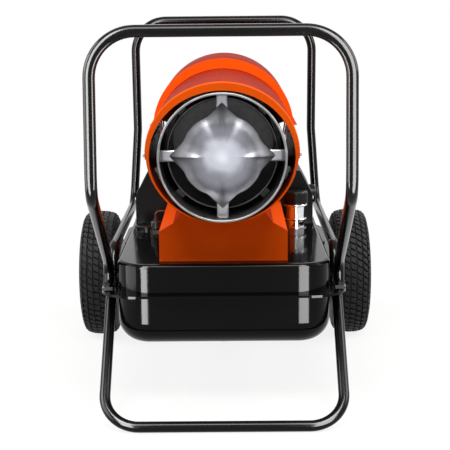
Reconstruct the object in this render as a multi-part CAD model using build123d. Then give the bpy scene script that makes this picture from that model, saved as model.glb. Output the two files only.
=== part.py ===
from build123d import *

import os

# A wheeled forced air heater that burns liquid fuel. Millimetres, +Z up, the outlet faces -Y,
# the origin is on the floor under the middle of the outline.

# ---------------------------------------------------------------- driving dimensions
# Bent tube: handles and stand
tube_d = 18.0
tube_wall = 1.6
handle_top_z = 641.0
handle_corner_r = 66.0
handle_kink_z = 409.0
handle_kink_r = 45.0
handle_lean = 20.0              # how far the top bar leans in from the kink
handle_draw_in = 11.5           # how far the legs draw in from the feet to the kink
foot_stand_off = 18.0           # from the tank's side to the middle of a foot
foot_bend_r = 30.0
foot_pad = (17.5, 62.0, 3.0)
front_bar_reach = 228.0         # from the tank's front end forward to the front handle's bar
front_foot_in = 77.0            # from the tank's front end back to the front handle's feet
front_foot_rise = 36.0          # upright length of tube above the front feet
rear_bar_in = 11.5              # from the tank's rear end forward to the rear handle's bar
rear_foot_in = 172.0            # from the tank's front end back to the rear handle's feet
rear_run_z = 246.0              # where the rear handle's legs run level beside the tank
rear_bend_r = 45.0
rail_stand_off = 14.5           # from the tank's side to the middle of a rail
stand_bar_reach = 111.0         # from the tank's front end forward to the stand's foot bar
stand_corner_r = 58.0
stand_knee_in = 79.0            # from the tank's front end back to the stand's knees
stand_knee_r = 55.0
rail_rear_in = 104.0            # from the tank's rear end forward to the ends of the rails
front_rail_bolt_in = 244.0      # from the tank's front end back to the rails' front bolts
rear_rail_bolt_ahead = 68.0     # from the axle forward to the rails' rear bolts

# Wheels and axle
tyre_d = 256.0
tyre_width = 80.0
tyre_gap = 19.5                 # from the middle of a rail to the tyre's inner face
tyre_bore_r = 51.0
tread_depth = 4.0
tread_blocks = 30
axle_in = 150.0                 # from the tank's rear end forward to the axle
axle_d = 16.0
axle_past_pin = 3.3             # length of axle outside the middle of its cotter pin
hub_length = 60.0
hub_wall = 5.0
bracket_t = 4.0
bracket_width = 60.0
cotter_d = 3.0
washer_t = 1.6

# Tank
tank_width = 362.0
tank_front_y = -202.0
tank_length = 642.0
tank_corner_r = 56.0
tank_bottom_z = 109.0
tank_seam_z = 198.0
tank_top_z = 251.0
tank_wall = 1.5
tank_belly_r = 40.0
tank_brow_r = 7.0
flange_t = 2.0
flange_side = 27.0
flange_end = 13.0
flange_corner_r = 62.0
channel_r = 16.0                # pressed channel that the axle passes through
drain_in = 70.0                 # from the tank's front end back to the drain
drain_d = 14.0

# Filler, on the tank's top
filler_in = 44.0                # from the tank's side in to the filler's axis
filler_y = 130.0
neck_d = 34.0
neck_bore_d = 29.0
neck_height = 50.0
bead_d = 45.0
cap_d = 46.0
cap_height = 23.0
cap_ribs = 28
gasket_t = 2.0

# Barrel
barrel_z = 442.0
front_half_w = 124.0
front_half_h = 115.0
rear_r = 133.5
mouth_y = -260.0
step_y = 121.0
barrel_rear_y = 370.0
sheet_t = 1.5
seam_flare = 6.0                # ledge along the rear section's seam
lap = 7.0                       # the upper shell laps over the lower one by this each side of the seam
lip_side = 7.5
lip_top = 13.5
lip_bottom = 5.5
nose_turn = 1.5                 # how far the sheet leans in over the last of its length
lip_depth = 9.0
shelf_width = 73.0              # tank top left free on each side of the pedestal
pedestal_front_y = -173.0
pedestal_rear_y = 352.0
pedestal_wall_z = 302.0         # where its upright walls turn in towards the barrel
shoulder_half_w = 84.0
front_screw_ys = (-246.0, -172.0, -40.0, 85.0)
rear_screw_ys = (160.0, 250.0, 345.0)

# Combustion chamber
chamber_drop = 5.0              # the chamber's axis below the barrel's
chamber_r = 104.0
chamber_front_y = -264.0
chamber_rear_y = 40.0
liner_r = 92.0
liner_front_y = -203.0
liner_rear_y = 20.0
chamber_t = 1.2
rolled_edge_r = 2.0

# Flame deflector
dome_r = 70.0
dome_rise = 26.0
dome_rim_y = -232.0
deflector_t = 1.2
arm_width = 19.0
arm_tab = 16.0

# Burner
burner_r = 42.0
burner_front_y = 8.0
burner_rear_y = 68.0
vane_count = 10
adaptor_r = 11.0
adaptor_front_y = 44.0
adaptor_rear_y = 98.0
line_port = 17.0                # reach of its two side ports
nozzle_r = 7.0
nozzle_front_y = 26.0
electrode_r = 3.5
electrode_x = 11.0
electrode_z = 26.0
photocell_r = 6.0
photocell_x = -52.0
photocell_drop = 32.0

# Motor, fan and pump, on the barrel's axis
motor_r = 48.0
motor_front_y = 214.0
motor_length = 100.0
bracket_gap = 4.0               # between the motor and its bracket
shaft_r = 4.0
shaft_front_y = 142.0
fan_y = 165.0
fan_depth = 30.0
fan_clearance = 7.0
fan_hub_r = 22.0
fan_blades = 5
running = 0.05                  # radial running clearance
pump_r = 42.0
pump_gap = 4.0
pump_depth = 22.0
rotor_r = 22.0
rotor_offset = 2.4
rotor_depth = 12.0
vane_t = 3.0
cover_t = 9.0
gauge_r = 17.0
guard_y = 374.0
guard_wire = 3.0
guard_rings = 5
guard_spokes = 4

# Side covers and what they hold
cover_in = 8.0                  # from the tank's side in to the cover's side
cover_front_y = 166.0
cover_rear_y = 378.0
cover_height = 105.0
cover_slope = (25.0, 47.0)      # width and height of its sloping shoulder
cover_edge_r = 7.0
cover_wall = 1.5
controls_rise = 35.0            # from the tank's top up to the knob and the switch
knob_d = 36.0
knob_depth = 15.0
knob_y = 320.0
switch_y = 245.0
switch_size = (30.0, 22.0)
rocker_size = (21.0, 14.0)
rocker_tilt = 8.0
gland_d = 22.0
gland_bore_d = 9.0
gland_in = 33.0                 # from the cover's side in to the gland
gland_rise = 39.0
module_size = (46.0, 54.0, 44.0)
board_size = (2.0, 130.0, 60.0)
board_gap = 10.0                # between the pedestal and the board
board_post_in = 15.0            # from the board's ends in to its posts

# Fuel gauge and float
gauge_in = 35.0                 # from the tank's side in to the gauge
gauge_y = 104.0
dial_r = 22.0
pointer_sweep = 90.0
float_arm = 90.0
float_r = 13.0
float_pivot_drop = 16.0
float_fall = 60.0               # how far the arm hangs below level in an empty tank

# Hoses
fuel_line_d = 6.0
air_hose_d = 9.0
fuel_line_y = 75.0
air_hose_y = 88.0
line_rise_x = -30.0             # where the fuel line rises under the barrel
hose_rise_x = 30.0
filter_out = 20.0               # from the pedestal's side out to the filter
filter_stem_r = 7.0
filter_height = 28.0
line_run_z = 293.0

# Fits
clear = 0.3                     # between separate pieces that don't touch
bolt_d = 6.0
screw_d = 4.0
hole_clear = 0.1                # radial clearance of a screw in its hole
hose_clear = 0.8                # radial clearance of a hose in the lower shell

# ---------------------------------------------------------------- worked out from the above
tank_half_w = tank_width / 2
tank_rear_y = tank_front_y + tank_length
flange_half_w = tank_half_w + flange_side
flange_top_z = tank_seam_z + flange_t
drain_y = tank_front_y + drain_in
pedestal_half_w = tank_half_w - shelf_width

foot_half_x = tank_half_w + foot_stand_off
foot_plate_top = flange_top_z + foot_pad[2]
handle_half_w = foot_half_x - handle_draw_in
front_bar_y = tank_front_y - front_bar_reach
front_foot_y = tank_front_y + front_foot_in
rear_bar_y = tank_rear_y - rear_bar_in
rear_foot_y = tank_front_y + rear_foot_in
stand_half_w = tank_half_w + rail_stand_off
stand_bar_y = tank_front_y - stand_bar_reach
stand_bar_z = tube_d / 2
stand_knee_y = tank_front_y + stand_knee_in
rail_rear_y = tank_rear_y - rail_rear_in
rail_z = tank_seam_z - flange_t - tube_d / 2

axle_y = tank_rear_y - axle_in
wheel_z = tyre_d / 2
tyre_half_x = stand_half_w + tyre_gap + tyre_width / 2
hub_bore_r = axle_d / 2 + running
hub_half = hub_length / 2
cotter_x = tyre_half_x + hub_half + 2 * running + washer_t + cotter_d
axle_end_x = cotter_x + axle_past_pin

filler_x = tank_half_w - filler_in
neck_top_z = tank_top_z + neck_height
gauge_x = gauge_in - tank_half_w
filter_x = -pedestal_half_w - filter_out

lower_rear_r = rear_r - sheet_t - clear
chamber_z = barrel_z - chamber_drop
photocell_z = chamber_z - photocell_drop
motor_rear_y = motor_front_y + motor_length
bracket_top_z = barrel_z - motor_r - bracket_gap
pump_front_y = motor_rear_y + pump_gap
pump_rear_y = pump_front_y + pump_depth
hose_rear_y = pump_front_y + pump_depth / 2

cover_half_w = tank_half_w - cover_in
cover_top_z = tank_top_z + cover_height
controls_z = tank_top_z + controls_rise
gland_x = cover_half_w - gland_in
gland_z = tank_top_z + gland_rise
SIDES = (-1, 1)

nodes = {}


# ---------------------------------------------------------------- helpers
def block(x0, x1, y0, y1, z0, z1):
    """A box between two corners."""
    return Pos((x0 + x1) / 2, (y0 + y1) / 2, (z0 + z1) / 2) * Box(x1 - x0, y1 - y0, z1 - z0)


def rod_x(radius, x0, x1, y, z):
    """A cylinder along X."""
    return Pos((x0 + x1) / 2, y, z) * Rot(0, 90, 0) * Cylinder(radius, x1 - x0)


def rod_y(radius, y0, y1, x=0.0, z=0.0):
    """A cylinder along Y, its seam line at the top."""
    return Pos(x, (y0 + y1) / 2, z) * Rot(90, 0, 90) * Cylinder(radius, y1 - y0)


def rod_z(radius, z0, z1, x, y):
    """A cylinder along Z."""
    return Pos(x, y, (z0 + z1) / 2) * Cylinder(radius, z1 - z0)


def oval_face(half_w, half_h, y, z):
    """An upright oval face of two halves that meet at its top and bottom."""
    halves = [EllipticalCenterArc((0, 0), half_w, half_h, start, arc_size=180) for start in (90, 270)]
    plane = Plane(origin=(0, y, z), x_dir=(1, 0, 0), z_dir=(0, 1, 0))
    return plane * make_face(halves[0] + halves[1])


def oval_y(half_w, half_h, y0, y1, z):
    """A solid of oval section along Y."""
    return extrude(oval_face(half_w, half_h, y0, z), y1 - y0)


def taper_y(half_w0, half_h0, z0, y0, half_w1, half_h1, z1, y1):
    """A tapering solid between two oval sections."""
    front = oval_face(half_w0, half_h0, y0, z0)
    back = oval_face(half_w1, half_h1, y1, z1)
    return loft([front.face(), back.face()], ruled=True)


def bent_tube(points, radii, diameter, wall):
    """A hollow tube swept along straight runs joined by arcs."""
    path = FilletPolyline(*points, radius=radii)
    ring = Circle(diameter / 2) - Circle(diameter / 2 - wall)
    return sweep(Plane(origin=path @ 0, z_dir=path % 0) * ring, path=path)


def solid_tube(points, radii, diameter):
    """A hose or line along straight runs joined by arcs."""
    path = FilletPolyline(*points, radius=radii)
    return sweep(Plane(origin=path @ 0, z_dir=path % 0) * Circle(diameter / 2), path=path)


def rounded_slab(half_w, y0, y1, corner_r, z0, z1):
    """A slab with rounded plan corners."""
    outline = Pos(0, (y0 + y1) / 2, z0) * RectangleRounded(2 * half_w, y1 - y0, corner_r)
    return extrude(outline, z1 - z0)


def nut_and_bolt(x, y, z_head, z_nut):
    """A hexagon bolt from its head's underside down to a nut's upper face."""
    hexagon = RegularPolygon(bolt_d * 0.95, 6)
    head = Pos(x, y, z_head) * extrude(hexagon, bolt_d * 0.65)
    nut = Pos(x, y, z_nut) * extrude(hexagon, -bolt_d * 0.8)
    return head + nut + rod_z(bolt_d / 2, z_nut - bolt_d * 1.2, z_head, x, y)


def rims(shape):
    """The round edges of a turned piece."""
    return shape.edges().filter_by(GeomType.CIRCLE)


def group(solids):
    """Separate solids kept in one node."""
    return Compound(children=list(solids))


# ---------------------------------------------------------------- tank
def tank_body(grow, z0, z1):
    """The tank's plan outline, grown by a wall, between two heights."""
    return rounded_slab(tank_half_w + grow, tank_front_y - grow, tank_rear_y + grow,
                        tank_corner_r + grow, z0, z1)


def flange_plate(z0, z1):
    """The flange all round the tank's seam, wide along the sides."""
    return rounded_slab(flange_half_w, tank_front_y - flange_end, tank_rear_y + flange_end,
                        flange_corner_r, z0, z1)


def foot_bolt_places():
    """Where the bolts pass through the handle feet and the flange."""
    reach = foot_pad[1] / 2 - bolt_d * 1.3
    return [(side * foot_half_x, y + step * reach)
            for side in SIDES for y in (front_foot_y, rear_foot_y) for step in (-1, 1)]


def rail_bolt_places():
    """Where the bolts pass through the flange and the frame's rails."""
    ys = (tank_front_y + front_rail_bolt_in, axle_y - rear_rail_bolt_ahead)
    return [(side * stand_half_w, y) for side in SIDES for y in ys]


def flange_holes(z0, z1):
    """The bolt holes through the tank's flange."""
    places = foot_bolt_places() + rail_bolt_places()
    return [rod_z(bolt_d / 2 + hole_clear, z0, z1, x, y) for x, y in places]


def make_tank_top():
    outer = tank_body(0, tank_seam_z, tank_top_z)
    outer = fillet(outer.faces().sort_by(Axis.Z)[-1].edges(), tank_brow_r)
    inner = tank_body(-tank_wall, tank_seam_z, tank_top_z - tank_wall)
    inner = fillet(inner.faces().sort_by(Axis.Z)[-1].edges(), tank_brow_r - tank_wall)
    pan = outer + flange_plate(tank_seam_z, flange_top_z) - inner
    pan -= rod_z(neck_d / 2 + hole_clear, tank_top_z - 5, tank_top_z + 5, filler_x, filler_y)
    pan -= rod_z(dial_r - 6 + hole_clear, tank_top_z - 5, tank_top_z + 5, gauge_x, gauge_y)
    pan -= rod_z(filter_stem_r + hole_clear, tank_top_z - 5, tank_top_z + 5, filter_x, fuel_line_y)
    for hole in flange_holes(tank_seam_z - 1, flange_top_z + 1):
        pan -= hole
    return pan


def axle_channel(radius):
    """The room that the axle's channel takes out of the tank's underside."""
    reach = tank_width
    upper = rod_x(radius, -reach, reach, axle_y, wheel_z)
    return upper + block(-reach, reach, axle_y - radius, axle_y + radius, tank_bottom_z - 5, wheel_z)


def make_tank_bottom():
    outer = tank_body(0, tank_bottom_z, tank_seam_z)
    outer = fillet(outer.faces().sort_by(Axis.Z)[0].edges(), tank_belly_r)
    inner = tank_body(-tank_wall, tank_bottom_z + tank_wall, tank_seam_z)
    inner = fillet(inner.faces().sort_by(Axis.Z)[0].edges(), tank_belly_r - tank_wall)
    inner -= axle_channel(channel_r + tank_wall)
    pan = outer - axle_channel(channel_r)
    pan += flange_plate(tank_seam_z - flange_t, tank_seam_z)
    pan -= inner
    pan += drain_boss() - drain_hole()
    pan -= drain_hole()
    for hole in flange_holes(tank_seam_z - flange_t - 1, tank_seam_z + 1):
        pan -= hole
    return pan


def drain_boss():
    """The round boss welded round the drain."""
    return rod_z(drain_d / 2 + 6, tank_bottom_z - 3, tank_bottom_z + 3, 0, drain_y)


def drain_hole():
    """The drain's hole through the boss and the tank's floor."""
    return rod_z(drain_d / 2 + hole_clear, tank_bottom_z - 9, tank_bottom_z + 9, 0, drain_y)


def make_drain_plug():
    head_top = tank_bottom_z - 3
    stem = rod_z(drain_d / 2, head_top, tank_bottom_z + 6, 0, drain_y)
    return stem + Pos(0, drain_y, head_top - 5) * extrude(RegularPolygon(drain_d / 2 + 4, 6), 5)


def make_filler_neck():
    z0 = tank_top_z
    neck = rod_z(neck_d / 2, z0 - 8, neck_top_z, filler_x, filler_y)
    neck += rod_z(bead_d / 2 - 1.5, z0, z0 + 2, filler_x, filler_y)
    for z, radius in ((z0 + 17, bead_d / 2 - 1), (neck_top_z - 6, bead_d / 2)):
        bead = Pos(filler_x, filler_y, z) * Cylinder(radius, 5)
        neck += fillet(rims(bead), 2.2)
    return neck - rod_z(neck_bore_d / 2, z0 - 9, neck_top_z + 1, filler_x, filler_y)


def make_filler_strainer():
    """A thin basket that hangs in the neck by its rim."""
    radius = neck_bore_d / 2 - clear
    top, low = neck_top_z, tank_top_z - 60
    basket = rod_z(radius, low, top, filler_x, filler_y)
    basket -= rod_z(radius - 1, low + 1, top + 1, filler_x, filler_y)
    basket += (rod_z(neck_d / 2 - 0.5, top, top + 1, filler_x, filler_y)
               - rod_z(radius - 1, top - 1, top + 2, filler_x, filler_y))
    slot = block(-2, 2, -20, 20, 0, 9)
    for turn in range(0, 180, 45):
        for z in range(int(low) + 8, int(tank_top_z) - 12, 15):
            basket -= Pos(filler_x, filler_y, z) * Rot(0, 0, turn) * slot
    return basket


def make_cap_gasket():
    z = neck_top_z + 1
    ring = rod_z(neck_d / 2 + 1, z, z + gasket_t, filler_x, filler_y)
    return ring - rod_z(neck_bore_d / 2 - 2, z - 1, z + gasket_t + 1, filler_x, filler_y)


def make_fuel_cap():
    base = neck_top_z - 2.5
    top = base + cap_height
    cap = fillet(rod_z(cap_d / 2, base, top, filler_x, filler_y).edges().sort_by(Axis.Z)[-1:], 3)
    cap -= rod_z(neck_d / 2 + 1 + clear, base - 1, neck_top_z + 1 + gasket_t, filler_x, filler_y)
    rib = block(cap_d / 2 - 0.8, cap_d / 2 + 0.9, -0.9, 0.9, base + 2, top - 4)
    for index in range(cap_ribs):
        cap += Pos(filler_x, filler_y, 0) * Rot(0, 0, index * 360 / cap_ribs) * rib
    return cap


def make_gauge_body():
    """The fuel gauge's cup, with the stem that carries the float's pivot."""
    z = tank_top_z
    cup = rod_z(dial_r, z, z + 9, gauge_x, gauge_y)
    cup -= rod_z(dial_r - 2, z + 2, z + 10, gauge_x, gauge_y)
    cup += rod_z(dial_r - 6, z - 6, z, gauge_x, gauge_y)
    cup += rod_z(1.5, z + 2, z + 5.5, gauge_x, gauge_y)
    pivot_z = z - float_pivot_drop
    for side in SIDES:
        x = gauge_x + side * 6
        cup += block(x - 1.5, x + 1.5, gauge_y - 5, gauge_y + 5, pivot_z - 5, z - 6)
    return cup - rod_x(1.5 + running, gauge_x - 9, gauge_x + 9, gauge_y, pivot_z)


def make_gauge_lens():
    z = tank_top_z + 9
    return rod_z(dial_r, z, z + 2, gauge_x, gauge_y)


def make_gauge_pointer():
    """The pointer at the empty end of its sweep, half of the sweep left of the dial's middle."""
    hub = rod_z(4, 0, 3, 0, 0)
    needle = block(-1, 1, 0, dial_r - 4, 1, 2.2)
    pointer = hub + needle - rod_z(1.5 + running, -1, 1.6, 0, 0)
    return Pos(gauge_x, gauge_y, tank_top_z + 4) * Rot(0, 0, pointer_sweep / 2) * pointer


def make_gauge_float():
    """The float on its arm, hanging as in an empty tank."""
    arm = rod_x(1.5, -8, 8, 0, 0)
    arm += rod_x(4, -4, 4, 0, 0)
    arm += rod_y(1.5, -float_arm, 0)
    arm += Pos(0, -float_arm, 0) * Sphere(float_r)
    return Pos(gauge_x, gauge_y, tank_top_z - float_pivot_drop) * Rot(float_fall, 0, 0) * arm


def make_fuel_filter():
    """The filter screwed into the tank's top, with its pick-up tube below."""
    z, x, y = tank_top_z, filter_x, fuel_line_y
    body = rod_z(filter_stem_r, z - 10, z, x, y)
    body += Pos(x, y, z) * extrude(RegularPolygon(12, 6), 8)
    body += fillet(rims(rod_z(10, z + 8, z + filter_height - 4, x, y)), 2)
    body += rod_z(5, z + filter_height - 4, z + filter_height, x, y)
    return body + rod_z(3, tank_bottom_z + 14, z - 10, x, y)


# ---------------------------------------------------------------- tube work
def make_handle(foot_y, leg, leg_radii):
    """A handle whose +X leg runs through the given points, with its feet welded on."""
    left = [(-x, y, z) for x, y, z in reversed(leg)]
    handle = bent_tube(leg + left, leg_radii + leg_radii[::-1], tube_d, tube_wall)
    half_w, length, thickness = foot_pad[0] / 2, foot_pad[1], foot_pad[2]
    for side in SIDES:
        x = side * foot_half_x
        handle += block(x - half_w, x + half_w, foot_y - length / 2, foot_y + length / 2,
                        flange_top_z, flange_top_z + thickness)
    for x, y in foot_bolt_places():
        if abs(y - foot_y) < length:
            handle -= rod_z(bolt_d / 2 + hole_clear, flange_top_z - 1, foot_plate_top + 1, x, y)
    return handle


def make_front_handle():
    leg = [(foot_half_x, front_foot_y, foot_plate_top),
           (foot_half_x, front_foot_y, foot_plate_top + front_foot_rise),
           (handle_half_w, front_bar_y - handle_lean, handle_kink_z),
           (handle_half_w, front_bar_y, handle_top_z)]
    return make_handle(front_foot_y, leg, [foot_bend_r, handle_kink_r, handle_corner_r])


def make_rear_handle():
    """Its legs drop to the tank's height, then run forward beside the tank to the feet."""
    drop_y = rear_bar_y + handle_lean
    leg = [(foot_half_x, rear_foot_y, foot_plate_top),
           (foot_half_x, rear_foot_y, rear_run_z),
           (foot_half_x, drop_y, rear_run_z),
           (handle_half_w, drop_y, handle_kink_z),
           (handle_half_w, rear_bar_y, handle_top_z)]
    return make_handle(rear_foot_y, leg, [foot_bend_r, rear_bend_r, handle_kink_r, handle_corner_r])


def make_wheel_frame():
    """Stand loop, side rails and axle brackets, welded into one piece."""
    half = stand_half_w
    points = [(-half, rail_rear_y, rail_z), (-half, stand_knee_y, rail_z),
              (-half, stand_bar_y, stand_bar_z), (half, stand_bar_y, stand_bar_z),
              (half, stand_knee_y, rail_z), (half, rail_rear_y, rail_z)]
    radii = [stand_knee_r, stand_corner_r, stand_corner_r, stand_knee_r]
    frame = bent_tube(points, radii, tube_d, tube_wall)
    low = wheel_z - bracket_width / 2 + 6
    for side in SIDES:
        x = side * half
        plate = block(x - bracket_t / 2, x + bracket_t / 2, axle_y - bracket_width / 2,
                      axle_y + bracket_width / 2, low, rail_z - tube_d / 2 + tube_wall / 2)
        plate = fillet(plate.edges().filter_by(Axis.X).sort_by(Axis.Z)[:2], 14)
        frame += plate
    frame -= rod_x(axle_d / 2 + hole_clear, -half - 9, half + 9, axle_y, wheel_z)
    for x, y in rail_bolt_places() + foot_bolt_places():
        if stand_knee_y < y < rail_rear_y:
            frame -= rod_z(bolt_d / 2 + hole_clear, rail_z - tube_d, rail_z + tube_d, x, y)
    return frame


def make_frame_bolts():
    """Bolts through the handle feet and the flange, and through the flange and the rails."""
    under_rail = rail_z - tube_d / 2 - clear
    under_flange = tank_seam_z - flange_t
    bolts = [nut_and_bolt(x, y, flange_top_z, under_rail) for x, y in rail_bolt_places()]
    for x, y in foot_bolt_places():
        over_rail = stand_knee_y < y < rail_rear_y
        bolts.append(nut_and_bolt(x, y, foot_plate_top, under_rail if over_rail else under_flange))
    return group(bolts)


# ---------------------------------------------------------------- wheels
def tyre_outline():
    """Half section of a tyre: radius along Y of the sketch, width along X."""
    half, crown, bead = tyre_width / 2, tyre_d / 2, tyre_bore_r
    shoulder = crown - 20
    line = Polyline((-half + 16, bead), (half - 16, bead), (half - 9, bead + 8))
    right = ThreePointArc((half - 9, bead + 8), (half, (bead + shoulder) / 2 + 4), (half - 5, shoulder + 4))
    corner_r = ThreePointArc((half - 5, shoulder + 4), (half - 12, crown - 5), (half - 24, crown - 1.2))
    top = ThreePointArc((half - 24, crown - 1.2), (0, crown), (24 - half, crown - 1.2))
    corner_l = ThreePointArc((24 - half, crown - 1.2), (12 - half, crown - 5), (5 - half, shoulder + 4))
    left = ThreePointArc((5 - half, shoulder + 4), (-half, (bead + shoulder) / 2 + 4), (9 - half, bead + 8))
    close = Line((9 - half, bead + 8), (16 - half, bead))
    return make_face(Curve() + [line, right, corner_r, top, corner_l, left, close])


def make_tyre(side):
    tyre = revolve(tyre_outline(), Axis.X, 360)
    crown = tyre_d / 2
    for offset in (-13.0, 13.0):
        groove = Rot(0, 90, 0) * (Cylinder(crown + 2, 3.4) - Cylinder(crown - tread_depth, 3.4))
        tyre -= Pos(offset, 0, 0) * groove
    bar = block(16.0, tyre_width / 2 + 3, -2.2, 2.2, crown - tread_depth - 4, crown + 3)
    for index in range(tread_blocks):
        for edge, shift in ((1, 0.0), (-1, 0.5)):
            turn = (index + shift) * 360 / tread_blocks
            flip = Rot(0, 0, 0) if edge > 0 else Rot(0, 0, 180)
            tyre -= Rot(turn, 0, 0) * flip * bar
    return Pos(side * tyre_half_x, axle_y, wheel_z) * tyre


def make_rim(side):
    """Rim barrel, two dished discs and a hub tube, as one welded piece."""
    barrel_r, barrel_half = tyre_bore_r - 0.02, tyre_width / 2 - 14
    rim = Cylinder(barrel_r, 2 * barrel_half) - Cylinder(barrel_r - 3, 2 * barrel_half)
    disc = Cylinder(barrel_r - 2, 3) - Cylinder(axle_d / 2 + hub_wall - 1, 3)
    for place in range(5):
        disc -= Rot(0, 0, place * 72) * Pos(barrel_r * 0.62, 0, 0) * Cylinder(7, 5)
    rim += Pos(0, 0, barrel_half - 10) * disc + Pos(0, 0, 10 - barrel_half) * disc
    rim += Cylinder(axle_d / 2 + hub_wall, hub_length)
    rim -= Cylinder(hub_bore_r, hub_length + 2)
    return Pos(side * tyre_half_x, axle_y, wheel_z) * Rot(0, 90, 0) * rim


def make_axle():
    axle = rod_x(axle_d / 2, -axle_end_x, axle_end_x, axle_y, wheel_z)
    axle = chamfer(rims(axle), 1)
    for side in SIDES:
        axle -= rod_z(cotter_d / 2 + hole_clear, wheel_z - 12, wheel_z + 12, side * cotter_x, axle_y)
    return axle


def sleeve(x0, x1, outer_r):
    """A ring on the axle."""
    bore = axle_d / 2 + running
    return rod_x(outer_r, x0, x1, axle_y, wheel_z) - rod_x(bore, x0 - 1, x1 + 1, axle_y, wheel_z)


def make_axle_spacers():
    inner = stand_half_w + bracket_t / 2
    outer = tyre_half_x - hub_half - clear
    return group([sleeve(inner, outer, 12), sleeve(-outer, -inner, 12)])


def make_axle_washers():
    start = tyre_half_x + hub_half + clear
    return group([sleeve(start, start + washer_t, 14), sleeve(-start - washer_t, -start, 14)])


def make_cotter_pins():
    pins = []
    for side in SIDES:
        x = side * cotter_x
        pins.append(rod_z(cotter_d / 2, wheel_z - 12, wheel_z + 13, x, axle_y)
                    + Pos(x, axle_y, wheel_z + 15) * Rot(0, 90, 0) * Torus(3.5, 1.2))
    return group(pins)


# ---------------------------------------------------------------- barrel shells
def barrel_solid(shrink, y_front, y_rear):
    """The stepped barrel, smaller by shrink all round, from the lip's back to the rear."""
    front = oval_y(front_half_w - shrink, front_half_h - shrink, y_front, step_y + shrink, barrel_z)
    return front + rod_y(rear_r - shrink, step_y + shrink, y_rear, 0, barrel_z)


def mouth_opening(y0, y1):
    """The hole in the turned-in lip, a little low in the barrel."""
    half_h = front_half_h - (lip_top + lip_bottom) / 2
    drop = (lip_top - lip_bottom) / 2
    return oval_y(front_half_w - lip_side, half_h, y0, y1, barrel_z - drop)


def barrel_nose(shrink, y_front, y_back):
    """The last of the barrel's length, leaning in towards the mouth."""
    half_w, half_h = front_half_w - shrink, front_half_h - shrink
    return taper_y(half_w - nose_turn, half_h - nose_turn, barrel_z, y_front,
                   half_w, half_h, barrel_z, y_back)


def barrel_skin(shrink):
    """The barrel's sheet with its turned-in lip."""
    back = mouth_y + lip_depth
    outer = barrel_solid(shrink, back, barrel_rear_y) + barrel_nose(shrink, mouth_y, back)
    inner = barrel_solid(shrink + sheet_t, back, barrel_rear_y + 1)
    inner += barrel_nose(shrink + sheet_t, mouth_y + sheet_t, back)
    return outer - inner - mouth_opening(mouth_y - 5, back)


def seam_screw_places():
    """Screws through the lapped seam, as (side, y, radius of the sheet's outside)."""
    front = [(side, y, front_half_w) for side in SIDES for y in front_screw_ys]
    rear = [(side, y, rear_r) for side in SIDES for y in rear_screw_ys]
    return front + rear


def seam_holes():
    """The seam screws' holes."""
    holes = []
    for side, y, radius in seam_screw_places():
        x0, x1 = sorted((side * (radius - 10), side * (radius + 5)))
        holes.append(rod_x(screw_d / 2 + hole_clear, x0, x1, y, barrel_z))
    return holes


def make_shell_screws():
    screws = []
    for side, y, radius in seam_screw_places():
        inside, outside = radius - 6, radius + 0.2
        x0, x1 = sorted((side * inside, side * outside))
        h0, h1 = sorted((side * outside, side * (outside + 2.6)))
        screws.append(rod_x(screw_d / 2, x0, x1, y, barrel_z) + rod_x(4.4, h0, h1, y, barrel_z))
    return group(screws)


def make_upper_shell():
    skin = barrel_skin(0)
    keep = block(-200, 200, mouth_y - 20, barrel_rear_y + 20, barrel_z - lap, barrel_z + 200)
    shell = skin & keep
    for side in SIDES:
        x0, x1 = sorted((side * (rear_r - sheet_t / 2), side * (rear_r + seam_flare)))
        shell += block(x0, x1, step_y, barrel_rear_y, barrel_z + lap, barrel_z + lap + sheet_t)
    return shell.cut(*seam_holes())


def pedestal(shrink, z0):
    """The pedestal's outline: upright walls, then shoulders that lean in to the barrel."""
    half, wall_z, shoulder = pedestal_half_w - shrink, pedestal_wall_z, shoulder_half_w - shrink
    top, top_half = barrel_z - 80, 50.0 - shrink
    outline = Polyline((-half, z0), (half, z0), (half, wall_z), (shoulder, wall_z + 14),
                       (top_half, top), (-top_half, top), (-shoulder, wall_z + 14),
                       (-half, wall_z), (-half, z0))
    face = Plane(origin=(0, pedestal_front_y + shrink, 0), x_dir=(1, 0, 0), z_dir=(0, -1, 0)) \
        * make_face(outline)
    return extrude(face, -(pedestal_rear_y - pedestal_front_y - 2 * shrink))


def hose_holes():
    """Where the fuel line and the air hose pass through the lower shell."""
    line_r = fuel_line_d / 2 + hose_clear
    hose_r = air_hose_d / 2 + hose_clear
    z0, z1 = pedestal_wall_z, barrel_z - 40
    return [rod_x(line_r, -pedestal_half_w - 3, -pedestal_half_w + 4, fuel_line_y, line_run_z),
            rod_z(line_r, z0, z1, line_rise_x, fuel_line_y),
            rod_z(hose_r, z0, z1, hose_rise_x, air_hose_y),
            rod_z(hose_r, z0, z1, hose_rise_x, hose_rear_y)]


def make_lower_shell():
    shrink = sheet_t + clear
    skin = barrel_skin(shrink)
    keep = block(-200, 200, mouth_y - 20, barrel_rear_y + 20, barrel_z - 200, barrel_z + lap)
    bowl = skin & keep
    room = barrel_solid(shrink + sheet_t / 2, mouth_y, barrel_rear_y + 5)
    box = pedestal(0, tank_top_z) - pedestal(sheet_t, tank_top_z - 5) - room
    foot = 14.0
    for side in SIDES:
        x0, x1 = sorted((side * (pedestal_half_w - foot), side * pedestal_half_w))
        box += block(x0, x1, pedestal_front_y, pedestal_rear_y, tank_top_z, tank_top_z + sheet_t)
    lip_notch = block(-200, 200, mouth_y - 1, mouth_y + sheet_t + clear,
                      barrel_z - lap - clear, barrel_z + lap + 1)
    return (bowl + box - lip_notch).cut(*seam_holes(), *hose_holes())


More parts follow.
